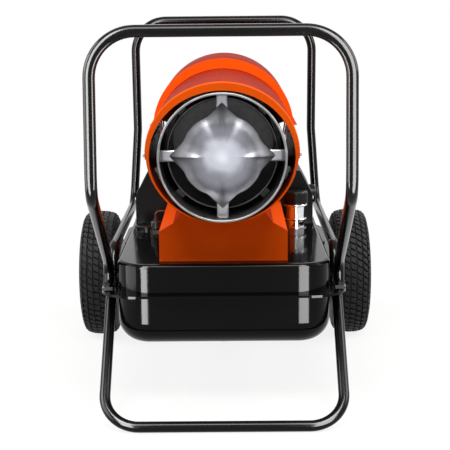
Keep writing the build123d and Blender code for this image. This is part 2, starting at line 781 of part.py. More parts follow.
# ---------------------------------------------------------------- combustion chamber
def rolled_cylinder(radius, y0, y1):
    """A thin cylinder whose front edge is rolled over."""
    wall = rod_y(radius, y0 + rolled_edge_r, y1, 0, chamber_z) \
        - rod_y(radius - chamber_t, y0, y1 + 1, 0, chamber_z)
    roll = Pos(0, y0 + rolled_edge_r, chamber_z) * Rot(90, 0, 0) \
        * Torus(radius - rolled_edge_r, rolled_edge_r)
    return wall + roll


def make_chamber_outer():
    chamber = rolled_cylinder(chamber_r, chamber_front_y, chamber_rear_y)
    for ring_y in (-60.0, -20.0):
        for index in range(16):
            place = Pos(0, ring_y, chamber_z) * Rot(0, index * 22.5, 0) * Pos(0, 0, chamber_r)
            chamber -= place * Cylinder(4, 12)
    return chamber


def liner_feet(radius_in, radius_out, y, length):
    """Small blocks that hold one cylinder in another."""
    feet = []
    for angle in (45, 135, 225, 315):
        foot = Pos(0, y, chamber_z) * Rot(0, angle, 0) * Pos(0, 0, (radius_in + radius_out) / 2) \
            * Box(16, length, radius_out - radius_in + 12)
        shell = rod_y(radius_out, y - length, y + length, 0, chamber_z) \
            - rod_y(radius_in, y - length - 1, y + length + 1, 0, chamber_z)
        feet.append(foot & shell)
    return feet


def make_chamber_inner():
    liner = rolled_cylinder(liner_r, liner_front_y, liner_rear_y)
    for y in (liner_front_y + 40, liner_rear_y - 30):
        for foot in liner_feet(liner_r - chamber_t / 2, chamber_r - chamber_t, y, 12):
            liner += foot
    return liner


def make_chamber_back():
    """The plate that closes the chamber's rear and carries the burner."""
    plate = rod_y(chamber_r - chamber_t, chamber_rear_y - 8, chamber_rear_y, 0, chamber_z)
    plate -= rod_y(chamber_r - chamber_t - 1.5, chamber_rear_y - 9, chamber_rear_y - 1.5, 0, chamber_z)
    plate -= rod_y(burner_r, chamber_rear_y - 9, chamber_rear_y + 1, 0, chamber_z)
    return plate - rod_y(photocell_r + 2, chamber_rear_y - 9, chamber_rear_y + 1,
                         photocell_x, photocell_z)


def make_chamber_spacers():
    """Blocks between the chamber and the shells, at the bottom and the sides."""
    shrink = 2 * sheet_t + clear
    room = oval_y(front_half_w - shrink, front_half_h - shrink, mouth_y + 12, step_y, barrel_z)
    spacers = []
    for y in (-150.0, 0.0):
        for angle in (110, 180, 250):
            bar = Pos(0, y, chamber_z) * Rot(0, angle, 0) * Pos(0, 0, chamber_r + 20) * Box(22, 14, 60)
            spacers.append((bar & room) - rod_y(chamber_r, y - 20, y + 20, 0, chamber_z))
    return group(spacers)


def make_deflector():
    """A shallow dome with four arms, whose tabs turn back along the chamber's wall."""
    ball_r = (dome_r ** 2 + dome_rise ** 2) / (2 * dome_rise)
    centre_y = dome_rim_y - dome_rise + ball_r
    cap = Pos(0, centre_y, chamber_z) * (Sphere(ball_r) - Sphere(ball_r - deflector_t))
    dome = cap & rod_y(dome_r, dome_rim_y - dome_rise - 2, dome_rim_y + 1, 0, chamber_z)
    reach = chamber_r - chamber_t
    ring = rod_y(reach, dome_rim_y, dome_rim_y + arm_tab, 0, chamber_z)
    hoop = ring - rod_y(reach - deflector_t, dome_rim_y - 1, dome_rim_y + arm_tab + 1, 0, chamber_z)
    half = arm_width / 2
    for turn in (0, 90, 180, 270):
        slot = Pos(0, 0, chamber_z) * Rot(0, turn, 0) \
            * block(-half, half, dome_rim_y - 2, dome_rim_y + arm_tab + 2, dome_r - 6, reach + 2)
        arm = Pos(0, 0, chamber_z) * Rot(0, turn, 0) \
            * block(-half, half, dome_rim_y, dome_rim_y + deflector_t, dome_r - 5, reach - 0.5)
        dome += (hoop & slot) + (arm & ring)
    return dome


# ---------------------------------------------------------------- burner
def make_burner_head():
    """A cup through the chamber's back, with a swirl plate of twisted vanes at its mouth."""
    cup = rod_y(burner_r, burner_front_y, burner_rear_y, 0, chamber_z)
    cup -= rod_y(burner_r - 1.5, burner_front_y - 1, burner_rear_y - 1.5, 0, chamber_z)
    lip = rod_y(burner_r + 5, chamber_rear_y, chamber_rear_y + 1.5, 0, chamber_z) \
        - rod_y(burner_r, chamber_rear_y - 1, chamber_rear_y + 3, 0, chamber_z)
    cup += lip
    ring_r = 18.0
    hub = rod_y(ring_r, burner_front_y, burner_front_y + 8, 0, chamber_z) \
        - rod_y(ring_r - 1.5, burner_front_y - 1, burner_front_y + 9, 0, chamber_z)
    cup += hub
    room = rod_y(burner_r - 0.5, burner_front_y, burner_front_y + 16, 0, chamber_z) \
        - rod_y(ring_r - 0.7, burner_front_y - 1, burner_front_y + 17, 0, chamber_z)
    for index in range(vane_count):
        vane = Pos(0, burner_front_y + 5, chamber_z) * Rot(0, index * 360 / vane_count, 0) \
            * Pos(0, 0, (ring_r + burner_r) / 2) * Rot(0, 0, 35) * Box(1.2, 9, burner_r - ring_r + 2)
        cup += vane & room
    cup -= rod_y(adaptor_r, burner_rear_y - 5, burner_rear_y + 1, 0, chamber_z)
    for side in SIDES:
        cup -= rod_y(electrode_r + hole_clear, burner_rear_y - 5, burner_rear_y + 1,
                     side * electrode_x, chamber_z + electrode_z)
    vent = 6.0
    for angle in (200, 160, 240, 120):
        cup -= Pos(0, burner_rear_y - 1, chamber_z) * Rot(0, angle, 0) * Pos(0, 0, 29) \
            * Rot(90, 0, 0) * Cylinder(vent, 6)
    return cup


def make_nozzle_adaptor():
    body = rod_y(adaptor_r, adaptor_front_y, adaptor_rear_y, 0, chamber_z)
    body += rod_x(5.5, -line_port, 0, fuel_line_y, chamber_z)
    body += rod_x(6.5, 0, line_port, air_hose_y, chamber_z)
    return body - rod_y(nozzle_r - 2, adaptor_front_y - 1, adaptor_front_y + 14, 0, chamber_z)


def make_nozzle():
    stem = rod_y(nozzle_r - 2, adaptor_front_y - 1, adaptor_front_y + 14, 0, chamber_z)
    face = Plane(origin=(0, nozzle_front_y + 6, chamber_z), x_dir=(1, 0, 0), z_dir=(0, 1, 0)) \
        * RegularPolygon(nozzle_r + 1, 6)
    body = extrude(face, adaptor_front_y - nozzle_front_y - 6)
    tip = Pos(0, nozzle_front_y + 3, chamber_z) * Rot(-90, 0, 0) * Cone(3, nozzle_r, 6)
    return stem + body + tip


def make_electrodes():
    """Two ceramic rods with bare wire tips, held in the burner's back."""
    rods = []
    for side in SIDES:
        x, z = side * electrode_x, chamber_z + electrode_z
        rods.append(rod_y(electrode_r, burner_front_y + 22, burner_rear_y + 22, x, z)
                    + rod_y(1, burner_front_y + 12, burner_rear_y + 28, x, z))
    return group(rods)


def make_photocell():
    x, y, z = photocell_x, chamber_rear_y + 14, photocell_z
    return rod_y(photocell_r, y, y + 24, x, z) + rod_y(2, y + 24, y + 34, x, z)


def make_photocell_bracket():
    x, y0, z = photocell_x, chamber_rear_y, photocell_z
    plate = block(x - 14, x + 10, y0, y0 + 1.5, z - 24, z + 10)
    shelf = block(x - 14, x + 10, y0, y0 + 34, z - photocell_r - 1.5, z - photocell_r)
    hole = rod_y(photocell_r + 2, y0 - 1, y0 + 3, x, z)
    return plate + shelf - hole


# ---------------------------------------------------------------- motor, fan and pump
def make_motor():
    body = rod_y(motor_r, motor_front_y, motor_rear_y, 0, barrel_z)
    body = fillet(rims(body), 5)
    body += rod_y(14, motor_front_y - 6, motor_front_y, 0, barrel_z)
    body += rod_y(20, motor_rear_y, pump_front_y, 0, barrel_z)
    body += block(-36, 36, motor_front_y + 16, motor_rear_y - 16, bracket_top_z, barrel_z - 30)
    fin = 1.6
    for index in range(5):
        y = motor_front_y + 20 + index * 15
        body += rod_y(motor_r + fin, y, y + 6, 0, barrel_z)
    return body - rod_y(shaft_r + running, motor_front_y - 10, pump_front_y + 1, 0, barrel_z)


def make_motor_bracket():
    """A plate across the barrel's rear, with edges turned up against the shell."""
    room = rod_y(lower_rear_r - sheet_t, motor_front_y + 4, motor_rear_y - 4, 0, barrel_z)
    top = bracket_top_z
    plate = block(-150, 150, motor_front_y + 8, motor_rear_y - 8, top - 3, top) & room
    rim = room - rod_y(lower_rear_r - sheet_t - 3, motor_front_y, motor_rear_y, 0, barrel_z)
    wings = rim & block(-150, 150, motor_front_y + 8, motor_rear_y - 8, top - 3, top + 22)
    return plate + wings


def make_shaft():
    return rod_y(shaft_r, shaft_front_y, pump_front_y + 4 + rotor_depth, 0, barrel_z)


def make_fan():
    """Five pitched blades on a hub."""
    tip = rear_r - 2 * sheet_t - fan_clearance
    fan = rod_y(fan_hub_r, fan_y - fan_depth / 2, fan_y + fan_depth / 2, 0, barrel_z)
    fan = fillet(rims(fan), 2)
    room = rod_y(tip, fan_y - 20, fan_y + 20, 0, barrel_z) \
        - rod_y(fan_hub_r - 2, fan_y - 21, fan_y + 21, 0, barrel_z)
    for index in range(fan_blades):
        blade = Pos(0, fan_y, barrel_z) * Rot(0, index * 360 / fan_blades, 0) \
            * Pos(0, 0, (tip + fan_hub_r) / 2) * Rot(0, 0, 58) * Box(2, 62, tip - fan_hub_r + 8)
        fan += blade & room & rod_y(tip, fan_y - fan_depth / 2, fan_y + fan_depth / 2, 0, barrel_z)
    return fan - rod_y(shaft_r, fan_y - 30, fan_y + 30, 0, barrel_z)


def pump_chamber(y0, y1):
    """The pump's round chamber, a little off the shaft's axis."""
    return rod_y(rotor_r + rotor_offset + clear, y0, y1, 0, barrel_z + rotor_offset)


def make_pump_body():
    body = rod_y(pump_r, pump_front_y, pump_rear_y, 0, barrel_z)
    body -= pump_chamber(pump_front_y + 4, pump_rear_y + 1)
    body += rod_z(6.5, barrel_z - pump_r - 8, barrel_z - rotor_r - 4, hose_rise_x, hose_rear_y)
    return body - rod_y(shaft_r + running, pump_front_y - 1, pump_front_y + 5, 0, barrel_z)


def make_pump_rotor():
    y0 = pump_front_y + 4 + clear
    y1 = pump_rear_y - clear
    rotor = rod_y(rotor_r, y0, y1, 0, barrel_z)
    rotor -= rod_y(shaft_r, y0 - 1, pump_front_y + 4 + rotor_depth, 0, barrel_z)
    for angle in (45, 135, 225, 315):
        rotor -= vane_slot(angle, y0 - 1, y1 + 1, vane_t / 2)
    return rotor


def vane_slot(angle, y0, y1, half_t):
    """The room of one vane in the rotor."""
    return Pos(0, 0, barrel_z) * Rot(0, angle, 0) * block(-half_t, half_t, y0, y1, 11, rotor_r + 1)


def make_pump_vanes():
    y0, y1 = pump_front_y + 4 + clear, pump_rear_y - clear
    inside = rod_y(rotor_r - 0.1, y0, y1, 0, barrel_z)
    return group([vane_slot(angle, y0, y1, vane_t / 2) & inside for angle in (45, 135, 225, 315)])


def make_pump_cover():
    cover = rod_y(pump_r, pump_rear_y, pump_rear_y + cover_t, 0, barrel_z)
    cover = fillet(cover.edges().sort_by(Axis.Y)[-1:], 3)
    cover += rod_z(4, barrel_z + pump_r - 8, barrel_z + pump_r + 4, 0, pump_rear_y + cover_t / 2)
    for angle in range(0, 360, 60):
        cover += Pos(0, pump_rear_y + cover_t, barrel_z) * Rot(0, angle + 30, 0) * Pos(0, 0, pump_r - 6) \
            * Rot(90, 0, 0) * Cylinder(2.8, 4)
    return cover + rod_y(6, pump_rear_y + cover_t, pump_rear_y + cover_t + 5, 20, barrel_z)


def make_intake_filter():
    """A felt disc in a ring on the pump's inlet side."""
    y0 = pump_rear_y + cover_t
    return rod_y(15, y0, y0 + 6, -8, barrel_z - 4)


def make_pressure_gauge():
    """A small round gauge on top of the pump's end cover."""
    z = barrel_z + pump_r + 4 + gauge_r
    y = pump_rear_y + cover_t / 2
    case = rod_y(gauge_r, y - 7, y + 7, 0, z)
    case = chamfer(rims(case), 1.5)
    return case + rod_z(4, barrel_z + pump_r + 4, z, 0, y)


def make_rear_guard():
    """Wire rings and spokes across the barrel's rear end."""
    wire_r = guard_wire / 2
    outer = lower_rear_r - sheet_t - wire_r - 0.5
    ring_y = guard_y - guard_wire / 2
    centre = Pos(0, ring_y, barrel_z)
    pieces = [centre * Rot(90, 0, 20) * Torus(outer * index / guard_rings, wire_r)
              for index in range(1, guard_rings + 1)]
    behind = Pos(0, ring_y - guard_wire * 0.85, barrel_z)
    pieces += [behind * Rot(0, index * 180 / guard_spokes, 0) * Cylinder(wire_r, 2 * outer)
               for index in range(guard_spokes)]
    guard = pieces[0].fuse(*pieces[1:])
    for angle in (45, 135, 225, 315):
        tab = Pos(0, ring_y, barrel_z) * Rot(0, angle, 0) * Pos(0, -8, outer + 0.4) * Box(10, 20, 2.4)
        guard += tab & rod_y(lower_rear_r - sheet_t, ring_y - 20, ring_y + 5, 0, barrel_z)
    return guard


# ---------------------------------------------------------------- hoses
def make_fuel_line():
    z0 = tank_top_z + filter_height
    y = fuel_line_y
    points = [(filter_x, y, z0), (filter_x, y, line_run_z), (line_rise_x, y, line_run_z),
              (line_rise_x, y, chamber_z), (-line_port, y, chamber_z)]
    return solid_tube(points, [8, 12, 8], fuel_line_d)


def make_air_hose():
    x = hose_rise_x
    points = [(x, hose_rear_y, barrel_z - pump_r - 8), (x, hose_rear_y, line_run_z - 4),
              (x, air_hose_y, line_run_z - 4), (x, air_hose_y, chamber_z),
              (line_port, air_hose_y, chamber_z)]
    return solid_tube(points, [30, 30, 9], air_hose_d)


# ---------------------------------------------------------------- covers and controls
def cover_body(side, shrink):
    """A side cover's outline: an upright side, a sloping shoulder and a level top."""
    inner, outer, top = pedestal_half_w, cover_half_w - shrink, cover_top_z - shrink
    slope_w, slope_h = cover_slope
    outline = Polyline((inner, tank_top_z), (outer, tank_top_z), (outer, top - slope_h),
                       (outer - slope_w, top), (inner, top), (inner, tank_top_z))
    face = Plane(origin=(0, cover_front_y + shrink, 0), x_dir=(1, 0, 0), z_dir=(0, -1, 0)) \
        * make_face(outline)
    body = extrude(face, cover_front_y - cover_rear_y + 2 * shrink)
    bends = body.edges().filter_by(Axis.Y).sort_by(Axis.X)[-3:].sort_by(Axis.Z)[-2:]
    body = fillet(bends, cover_edge_r - shrink)
    return body if side > 0 else mirror(body, Plane.YZ)


def cover_shell(side):
    """A hollow side cover, open towards the pedestal and the tank."""
    return cover_body(side, 0) - cover_body(side, cover_wall) - barrel_room()


def barrel_room():
    """The room that the barrel takes, with a small gap."""
    return rod_y(rear_r + 6.5, step_y - 1, barrel_rear_y + 60, 0, barrel_z) \
        + oval_y(front_half_w + 1, front_half_h + 1, step_y - 60, step_y, barrel_z)


def make_side_cover(side):
    cover = cover_shell(side)
    if side < 0:
        louvre = block(-cover_half_w - 2, -cover_half_w + 3, -1.6, 1.6, tank_top_z + 13,
                       tank_top_z + 50)
        for index in range(7):
            cover -= Pos(0, cover_front_y + 60 + index * 15, 0) * louvre
        return cover
    face = cover_half_w
    cover -= rod_x(3.5, face - 3, face + 2, knob_y, controls_z)
    half_y, half_z = switch_size[0] / 2 - 2, switch_size[1] / 2 - 2
    cover -= block(face - 3, face + 2, switch_y - half_y, switch_y + half_y,
                   controls_z - half_z, controls_z + half_z)
    return cover - rod_y(gland_d / 2 - 4 + hole_clear, cover_rear_y - 4, cover_rear_y + 2,
                         gland_x, gland_z)


def make_thermostat():
    """The thermostat's body behind the cover's face."""
    inside = cover_half_w - cover_wall
    body = block(inside - 18, inside, knob_y - 16, knob_y + 16, controls_z - 16, controls_z + 16)
    return body - rod_x(3 + running, inside - 12, inside + 1, knob_y, controls_z)


def make_knob():
    face = cover_half_w + clear
    knob = rod_x(knob_d / 2, face, face + knob_depth, knob_y, controls_z)
    knob = fillet(knob.edges().sort_by(Axis.X)[-1:], 2)
    knob -= rod_x(knob_d / 2 - 2.5, face + knob_depth - 3, face + knob_depth + 1, knob_y, controls_z)
    knob += block(face + knob_depth - 6, face + knob_depth, knob_y - 3, knob_y + 3,
                  controls_z - knob_d / 2 + 2.6, controls_z + knob_d / 2 - 2.6)
    rib = block(face + 1, face + knob_depth - 3, -0.9, 0.9, knob_d / 2 - 0.6, knob_d / 2 + 0.7)
    for index in range(24):
        knob += Pos(0, knob_y, controls_z) * Rot(index * 15, 0, 0) * rib
    return knob + rod_x(3, face - cover_wall - clear - 10, face, knob_y, controls_z)


def make_switch_housing():
    face = cover_half_w
    half_y, half_z = switch_size[0] / 2, switch_size[1] / 2
    bezel = block(face, face + 2.5, switch_y - half_y, switch_y + half_y,
                  controls_z - half_z, controls_z + half_z)
    body = block(face - 20, face, switch_y - half_y + 2.3, switch_y + half_y - 2.3,
                 controls_z - half_z + 2.3, controls_z + half_z - 2.3)
    well_y, well_z = rocker_size[0] / 2 + 1, rocker_size[1] / 2 + clear
    well = block(face - 9, face + 3, switch_y - well_y, switch_y + well_y,
                 controls_z - well_z, controls_z + well_z)
    pin = rod_z(1.2, controls_z - well_z - 0.5, controls_z + well_z + 0.5, face - 2, switch_y)
    return bezel + body - well + pin


def make_switch_rocker():
    """A rocker on its cross pin, tipped to off."""
    half_y, half_z = rocker_size[0] / 2, rocker_size[1] / 2
    body = fillet(block(-2, 6.4, -half_y, half_y, -half_z, half_z).edges().filter_by(Axis.Z), 1.6)
    body -= rod_z(26, -half_z - 1, half_z + 1, 31, 0)
    body -= rod_z(1.2 + running, -half_z - 1, half_z + 1, 0, 0)
    return Pos(cover_half_w - 2, switch_y, controls_z) * Rot(0, 0, -rocker_tilt) * body


def make_cord_gland():
    """The inlet that a supply cord would pass through."""
    x, y, z = gland_x, cover_rear_y, gland_z
    gland = rod_y(gland_d / 2, y, y + 4, x, z) + rod_y(gland_d / 2 - 3, y, y + 13, x, z)
    gland = fillet(gland.edges().sort_by(Axis.Y)[-1:], 1.5)
    gland += rod_y(gland_d / 2 - 4, y - 7, y, x, z)
    return gland - rod_y(gland_bore_d / 2, y - 9, y + 15, x, z)


def make_ignition_module():
    width, length, height = module_size
    x, y = pedestal_half_w + 6, cover_front_y + 8
    box = block(x, x + width, y, y + length, tank_top_z, tank_top_z + height)
    return fillet(box.edges().filter_by(Axis.Z), 3)


def make_control_board():
    """The board on its two posts, with a relay and a capacitor block."""
    thickness, length, height = board_size
    back = -pedestal_half_w - board_gap
    face = back - thickness
    y0, z = cover_front_y + 34, tank_top_z
    board = block(face, back, y0, y0 + length, z + 6, z + 6 + height)
    for y in (y0 + board_post_in, y0 + length - board_post_in):
        board += block(back, -pedestal_half_w, y - 4, y + 4, z + 12, z + 20)
    board += block(face - 14, face, y0 + 25, y0 + 50, z + 20, z + 44)
    return board + block(face - 10, face, y0 + 75, y0 + 105, z + 18, z + 34)


# ---------------------------------------------------------------- all pieces
def build():
    nodes["tank_bottom_half"] = make_tank_bottom()
    nodes["tank_top_half"] = make_tank_top()
    nodes["filler_neck"] = make_filler_neck()
    nodes["filler_strainer"] = make_filler_strainer()
    nodes["fuel_cap"] = make_fuel_cap()
    nodes["cap_gasket"] = make_cap_gasket()
    nodes["drain_plug"] = make_drain_plug()
    nodes["fuel_gauge_body"] = make_gauge_body()
    nodes["fuel_gauge_lens"] = make_gauge_lens()
    nodes["fuel_gauge_pointer"] = make_gauge_pointer()
    nodes["fuel_gauge_float"] = make_gauge_float()
    nodes["fuel_filter"] = make_fuel_filter()
    nodes["fuel_line"] = make_fuel_line()
    nodes["air_hose"] = make_air_hose()
    nodes["upper_shell"] = make_upper_shell()
    nodes["lower_shell"] = make_lower_shell()
    nodes["shell_screws"] = make_shell_screws()
    nodes["chamber_outer"] = make_chamber_outer()
    nodes["chamber_inner"] = make_chamber_inner()
    nodes["chamber_back_plate"] = make_chamber_back()
    nodes["chamber_spacers"] = make_chamber_spacers()
    nodes["flame_deflector"] = make_deflector()
    nodes["burner_head"] = make_burner_head()
    nodes["nozzle_adaptor"] = make_nozzle_adaptor()
    nodes["nozzle"] = make_nozzle()
    nodes["spark_electrodes"] = make_electrodes()
    nodes["photocell"] = make_photocell()
    nodes["photocell_bracket"] = make_photocell_bracket()
    nodes["motor"] = make_motor()
    nodes["motor_bracket"] = make_motor_bracket()
    nodes["motor_shaft"] = make_shaft()
    nodes["fan"] = make_fan()
    nodes["pump_body"] = make_pump_body()
    nodes["pump_rotor"] = make_pump_rotor()
    nodes["pump_vanes"] = make_pump_vanes()
    nodes["pump_cover"] = make_pump_cover()
    nodes["intake_filter"] = make_intake_filter()
    nodes["pressure_gauge"] = make_pressure_gauge()
    nodes["rear_guard"] = make_rear_guard()
    nodes["side_cover_left"] = make_side_cover(-1)
    nodes["side_cover_right"] = make_side_cover(1)
    nodes["ignition_module"] = make_ignition_module()
    nodes["control_board"] = make_control_board()
    nodes["thermostat"] = make_thermostat()
    nodes["thermostat_knob"] = make_knob()
    nodes["switch_housing"] = make_switch_housing()
    nodes["switch_rocker"] = make_switch_rocker()
    nodes["cord_gland"] = make_cord_gland()
    nodes["front_handle"] = make_front_handle()
    nodes["rear_handle"] = make_rear_handle()
    nodes["wheel_frame"] = make_wheel_frame()
    nodes["frame_bolts"] = make_frame_bolts()
    nodes["axle"] = make_axle()
    nodes["axle_spacers"] = make_axle_spacers()
    nodes["axle_washers"] = make_axle_washers()
    nodes["cotter_pins"] = make_cotter_pins()
    for side, word in ((-1, "left"), (1, "right")):
        nodes["tyre_" + word] = make_tyre(side)
        nodes["rim_" + word] = make_rim(side)


build()
os.makedirs("parts", exist_ok=True)
for name, shape in nodes.items():
    export_step(shape, os.path.join("parts", name + ".step"))
print(len(nodes), "nodes written")
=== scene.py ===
import logging
import math
from dataclasses import dataclass
from enum import Enum
from itertools import product
from typing import Mapping, Sequence

import bmesh
import bpy
from mathutils import Euler, Matrix, Vector


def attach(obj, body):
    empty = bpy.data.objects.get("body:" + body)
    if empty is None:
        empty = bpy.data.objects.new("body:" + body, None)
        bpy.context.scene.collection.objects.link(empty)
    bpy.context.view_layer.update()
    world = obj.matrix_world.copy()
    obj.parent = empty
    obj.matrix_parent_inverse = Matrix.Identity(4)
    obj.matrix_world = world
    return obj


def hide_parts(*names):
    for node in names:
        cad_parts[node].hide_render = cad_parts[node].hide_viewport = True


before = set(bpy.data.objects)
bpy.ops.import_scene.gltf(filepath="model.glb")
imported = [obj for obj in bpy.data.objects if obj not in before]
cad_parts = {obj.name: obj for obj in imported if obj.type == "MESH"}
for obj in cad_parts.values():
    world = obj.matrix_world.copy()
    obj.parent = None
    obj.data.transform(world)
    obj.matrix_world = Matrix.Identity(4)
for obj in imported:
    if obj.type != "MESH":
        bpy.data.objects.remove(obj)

LOG = logging.getLogger("forced_air_heater")
MM = 0.001
Pair = tuple[float, float]
Point = tuple[float, float, float]
BMesh = bmesh.types.BMesh
Socket = bpy.types.NodeSocket
Tree = bpy.types.NodeTree

PATCH_RANGE = (0.3, 0.7)  # the part of the noise over which a patch changes
ROUGHNESS_SWING = 0.12  # a patch's change of the roughness, as a share
COAT_ROUGHNESS = 0.05
GRAZING_SHADE_RANGE = (0.84, 0.95)  # where the painted grazing shade starts and is full, 1 being a grazing look
RELIEF_STRENGTH = 0.6
SMOOTH_DEGREES = 32.0  # the steepest edge that is usually shaded smooth
BEVEL_SHARE = 0.22  # a small bar's bevel as a share of its least length
BEAD_SIDES = 8
BEAD_RIPPLE = 0.14  # a weld's change of radius along it, as a share
BEAD_END = 0.35  # a weld's radius at its ends, as a share


# ---- colour and node helpers
def srgb(code: str) -> tuple[float, float, float, float]:
    """Turns an sRGB hex code into linear colour.

    Args:
        code: Six hex digits, with a hash or without.

    Returns:
        Linear red, green, blue and an alpha of one.
    """
    digits = code.lstrip("#")
    channels = [int(digits[i:i + 2], 16) / 255 for i in (0, 2, 4)]
    linear = [c / 12.92 if c <= 0.04045 else ((c + 0.055) / 1.055) ** 2.4 for c in channels]
    return (linear[0], linear[1], linear[2], 1.0)


def add_node(tree: Tree, kind: str, settings: Mapping[str, object] | None = None,
             inputs: Mapping[str | int, object] | None = None) -> bpy.types.Node:
    """Adds a shader node with its settings and links.

    Args:
        tree: The node tree that gets the node.
        kind: The node's type name.
        settings: Properties of the node.
        inputs: Its inputs by name or number: a socket is linked, anything else is set.

    Returns:
        The new node.
    """
    node = tree.nodes.new(kind)
    for name, value in (settings or {}).items():
        setattr(node, name, value)
    for name, value in (inputs or {}).items():
        if isinstance(value, Socket):
            tree.links.new(value, node.inputs[name])
        else:
            node.inputs[name].default_value = value
    return node


def per_metre(millimetres: float) -> float:
    """Gives the texture scale at which one feature is that many millimetres long."""
    return 1.0 / (millimetres * MM)


def empty_tree(owner: bpy.types.Material | bpy.types.World) -> Tree:
    """Empties the nodes of a material or world.

    Args:
        owner: The material or world.

    Returns:
        Its node tree.
    """
    owner.use_nodes = True
    owner.node_tree.nodes.clear()
    return owner.node_tree


def object_place(tree: Tree) -> Socket:
    """Gives the place on the object, in metres, to textures."""
    return add_node(tree, "ShaderNodeTexCoord").outputs["Object"]


def noise(tree: Tree, place: Socket, size_mm: float, detail: float, roughness: float = 0.5) -> Socket:
    """Gives soft noise.

    Args:
        tree: The node tree that gets it.
        place: Where on the object it is read.
        size_mm: The length of one feature.
        detail: How many finer layers it has.
        roughness: How strong these are.

    Returns:
        The noise, round one half.
    """
    return add_node(tree, "ShaderNodeTexNoise",
                    inputs={"Vector": place, "Scale": per_metre(size_mm), "Detail": detail,
                            "Roughness": roughness}).outputs["Fac"]


def colour_ramp(tree: Tree, value: Socket, stops: Sequence[tuple[float, Sequence[float]]],
                blend: str = "LINEAR") -> Socket:
    """Turns a value into a colour.

    Args:
        tree: The node tree that gets the ramp.
        value: The value.
        stops: Values, from low to high, with their linear colours.
        blend: How one colour changes to the next.

    Returns:
        The colour.
    """
    ramp = add_node(tree, "ShaderNodeValToRGB", inputs={"Fac": value})
    ramp.color_ramp.interpolation = blend
    elements = ramp.color_ramp.elements
    while len(elements) < len(stops):
        elements.new(0.5)
    for element, (position, colour) in zip(elements, stops):
        element.position = position
        element.color = colour
    return ramp.outputs["Color"]


# ---- finishes
class Grain(Enum):
    """The kinds of fine relief that a surface can carry."""

    NONE = "none"
    ORANGE_PEEL = "baked powder"
    BRUSHED = "rolled or brushed"
    SPANGLE = "hot dipped crystals"
    SPARK = "spark eroded mould"
    SAND = "sandy skin"
    FIBRE = "pressed fibres"


@dataclass(frozen=True)
class Relief:
    """Fine relief: its kind, the size of one feature and its height in millimetres, and its stretch."""

    grain: Grain = Grain.NONE
    size: float = 1.0
    height: float = 0.02
    stretch: Point = (1.0, 1.0, 1.0)

    def normal(self, tree: Tree) -> Socket:
        """Gives the normal of a surface with this relief.

        Args:
            tree: The material's nodes.

        Returns:
            The normal.
        """
        place = add_node(tree, "ShaderNodeMapping",
                         inputs={"Vector": object_place(tree), "Scale": self.stretch}).outputs["Vector"]
        if self.grain is Grain.SPANGLE:
            height = add_node(tree, "ShaderNodeTexVoronoi",
                              inputs={"Vector": place, "Scale": per_metre(self.size)}).outputs["Color"]
        else:
            height = noise(tree, place, self.size, 2.0 if self.grain is Grain.ORANGE_PEEL else 5.0)
        return add_node(tree, "ShaderNodeBump",
                        inputs={"Height": height, "Distance": self.height * MM,
                                "Strength": RELIEF_STRENGTH}).outputs["Normal"]


@dataclass(frozen=True)
class Patches:
    """Soft patches: their colour, their size in millimetres and the share of that colour in them."""

    colour: str = ""
    size: float = 40.0
    share: float = 0.25


@dataclass(frozen=True)
class Finish:
    """A real material with the process that made its surface, and, where given, a painted shade at low
    angles.
    """

    name: str
    colour: str
    roughness: float
    relief: Relief
    patches: Patches
    metallic: float = 0.0
    ior: float = 1.5
    coat: float = 0.0
    transmission: float = 0.0
    # painted shade colour for surfaces seen at a low angle, or empty for none
    grazing_shade_colour: str = ""

    def material(self) -> bpy.types.Material:
        """Builds the shader, or gives the one already built.

        Returns:
            The Blender material.
        """
        found = bpy.data.materials.get(self.name)
        if found is not None:
            return found
        made = bpy.data.materials.new(self.name)
        tree = empty_tree(made)
        strength = noise(tree, object_place(tree), self.patches.size, 4.0, 0.6)
        low, high = PATCH_RANGE
        rough = add_node(tree, "ShaderNodeMapRange",
                         inputs={"Value": strength, "From Min": low, "From Max": high,
                                 "To Min": self.roughness * (1.0 - ROUGHNESS_SWING),
                                 "To Max": self.roughness * (1.0 + ROUGHNESS_SWING)})
        inputs = {"Base Color": self.paint_grazing_shade(tree, self.tint(tree, strength)), "Metallic": self.metallic,
                  "Roughness": rough.outputs["Result"], "IOR": self.ior, "Coat Weight": self.coat,
                  "Coat Roughness": COAT_ROUGHNESS, "Transmission Weight": self.transmission}
        if self.relief.grain is not Grain.NONE:
            inputs["Normal"] = self.relief.normal(tree)
        shader = add_node(tree, "ShaderNodeBsdfPrincipled", inputs=inputs)
        add_node(tree, "ShaderNodeOutputMaterial", inputs={"Surface": shader.outputs["BSDF"]})
        return made

    def tint(self, tree: Tree, strength: Socket) -> Socket:
        """Gives the colour seen straight on, which changes in soft patches.

        Args:
            tree: The material's nodes.
            strength: The noise of the patches.

        Returns:
            The colour.
        """
        base, other = srgb(self.colour), srgb(self.patches.colour or self.colour)
        mixed = tuple(b + (o - b) * self.patches.share for b, o in zip(base, other))
        return colour_ramp(tree, strength, tuple(zip(PATCH_RANGE, (mixed, base))))

    def paint_grazing_shade(self, tree: Tree, colour: Socket) -> Socket:
        """Paints shade: turns the colour to the darker shade colour where the surface is seen at a low angle.

        Args:
            tree: The material's nodes.
            colour: The colour seen straight on.

        Returns:
            The colour for any angle.
        """
        if not self.grazing_shade_colour:
            return colour
        low, high = GRAZING_SHADE_RANGE
        # painted shade: the colour darkens where the surface is seen at a low angle
        facing = add_node(tree, "ShaderNodeLayerWeight", inputs={"Blend": 0.5})
        share = add_node(tree, "ShaderNodeMapRange", {"interpolation_type": "SMOOTHSTEP"},
                         {"Value": facing.outputs["Facing"], "From Min": low, "From Max": high})
        return add_node(tree, "ShaderNodeMix", {"data_type": "RGBA"},
                        {0: share.outputs["Result"], 6: colour, 7: srgb(self.grazing_shade_colour)}).outputs[2]


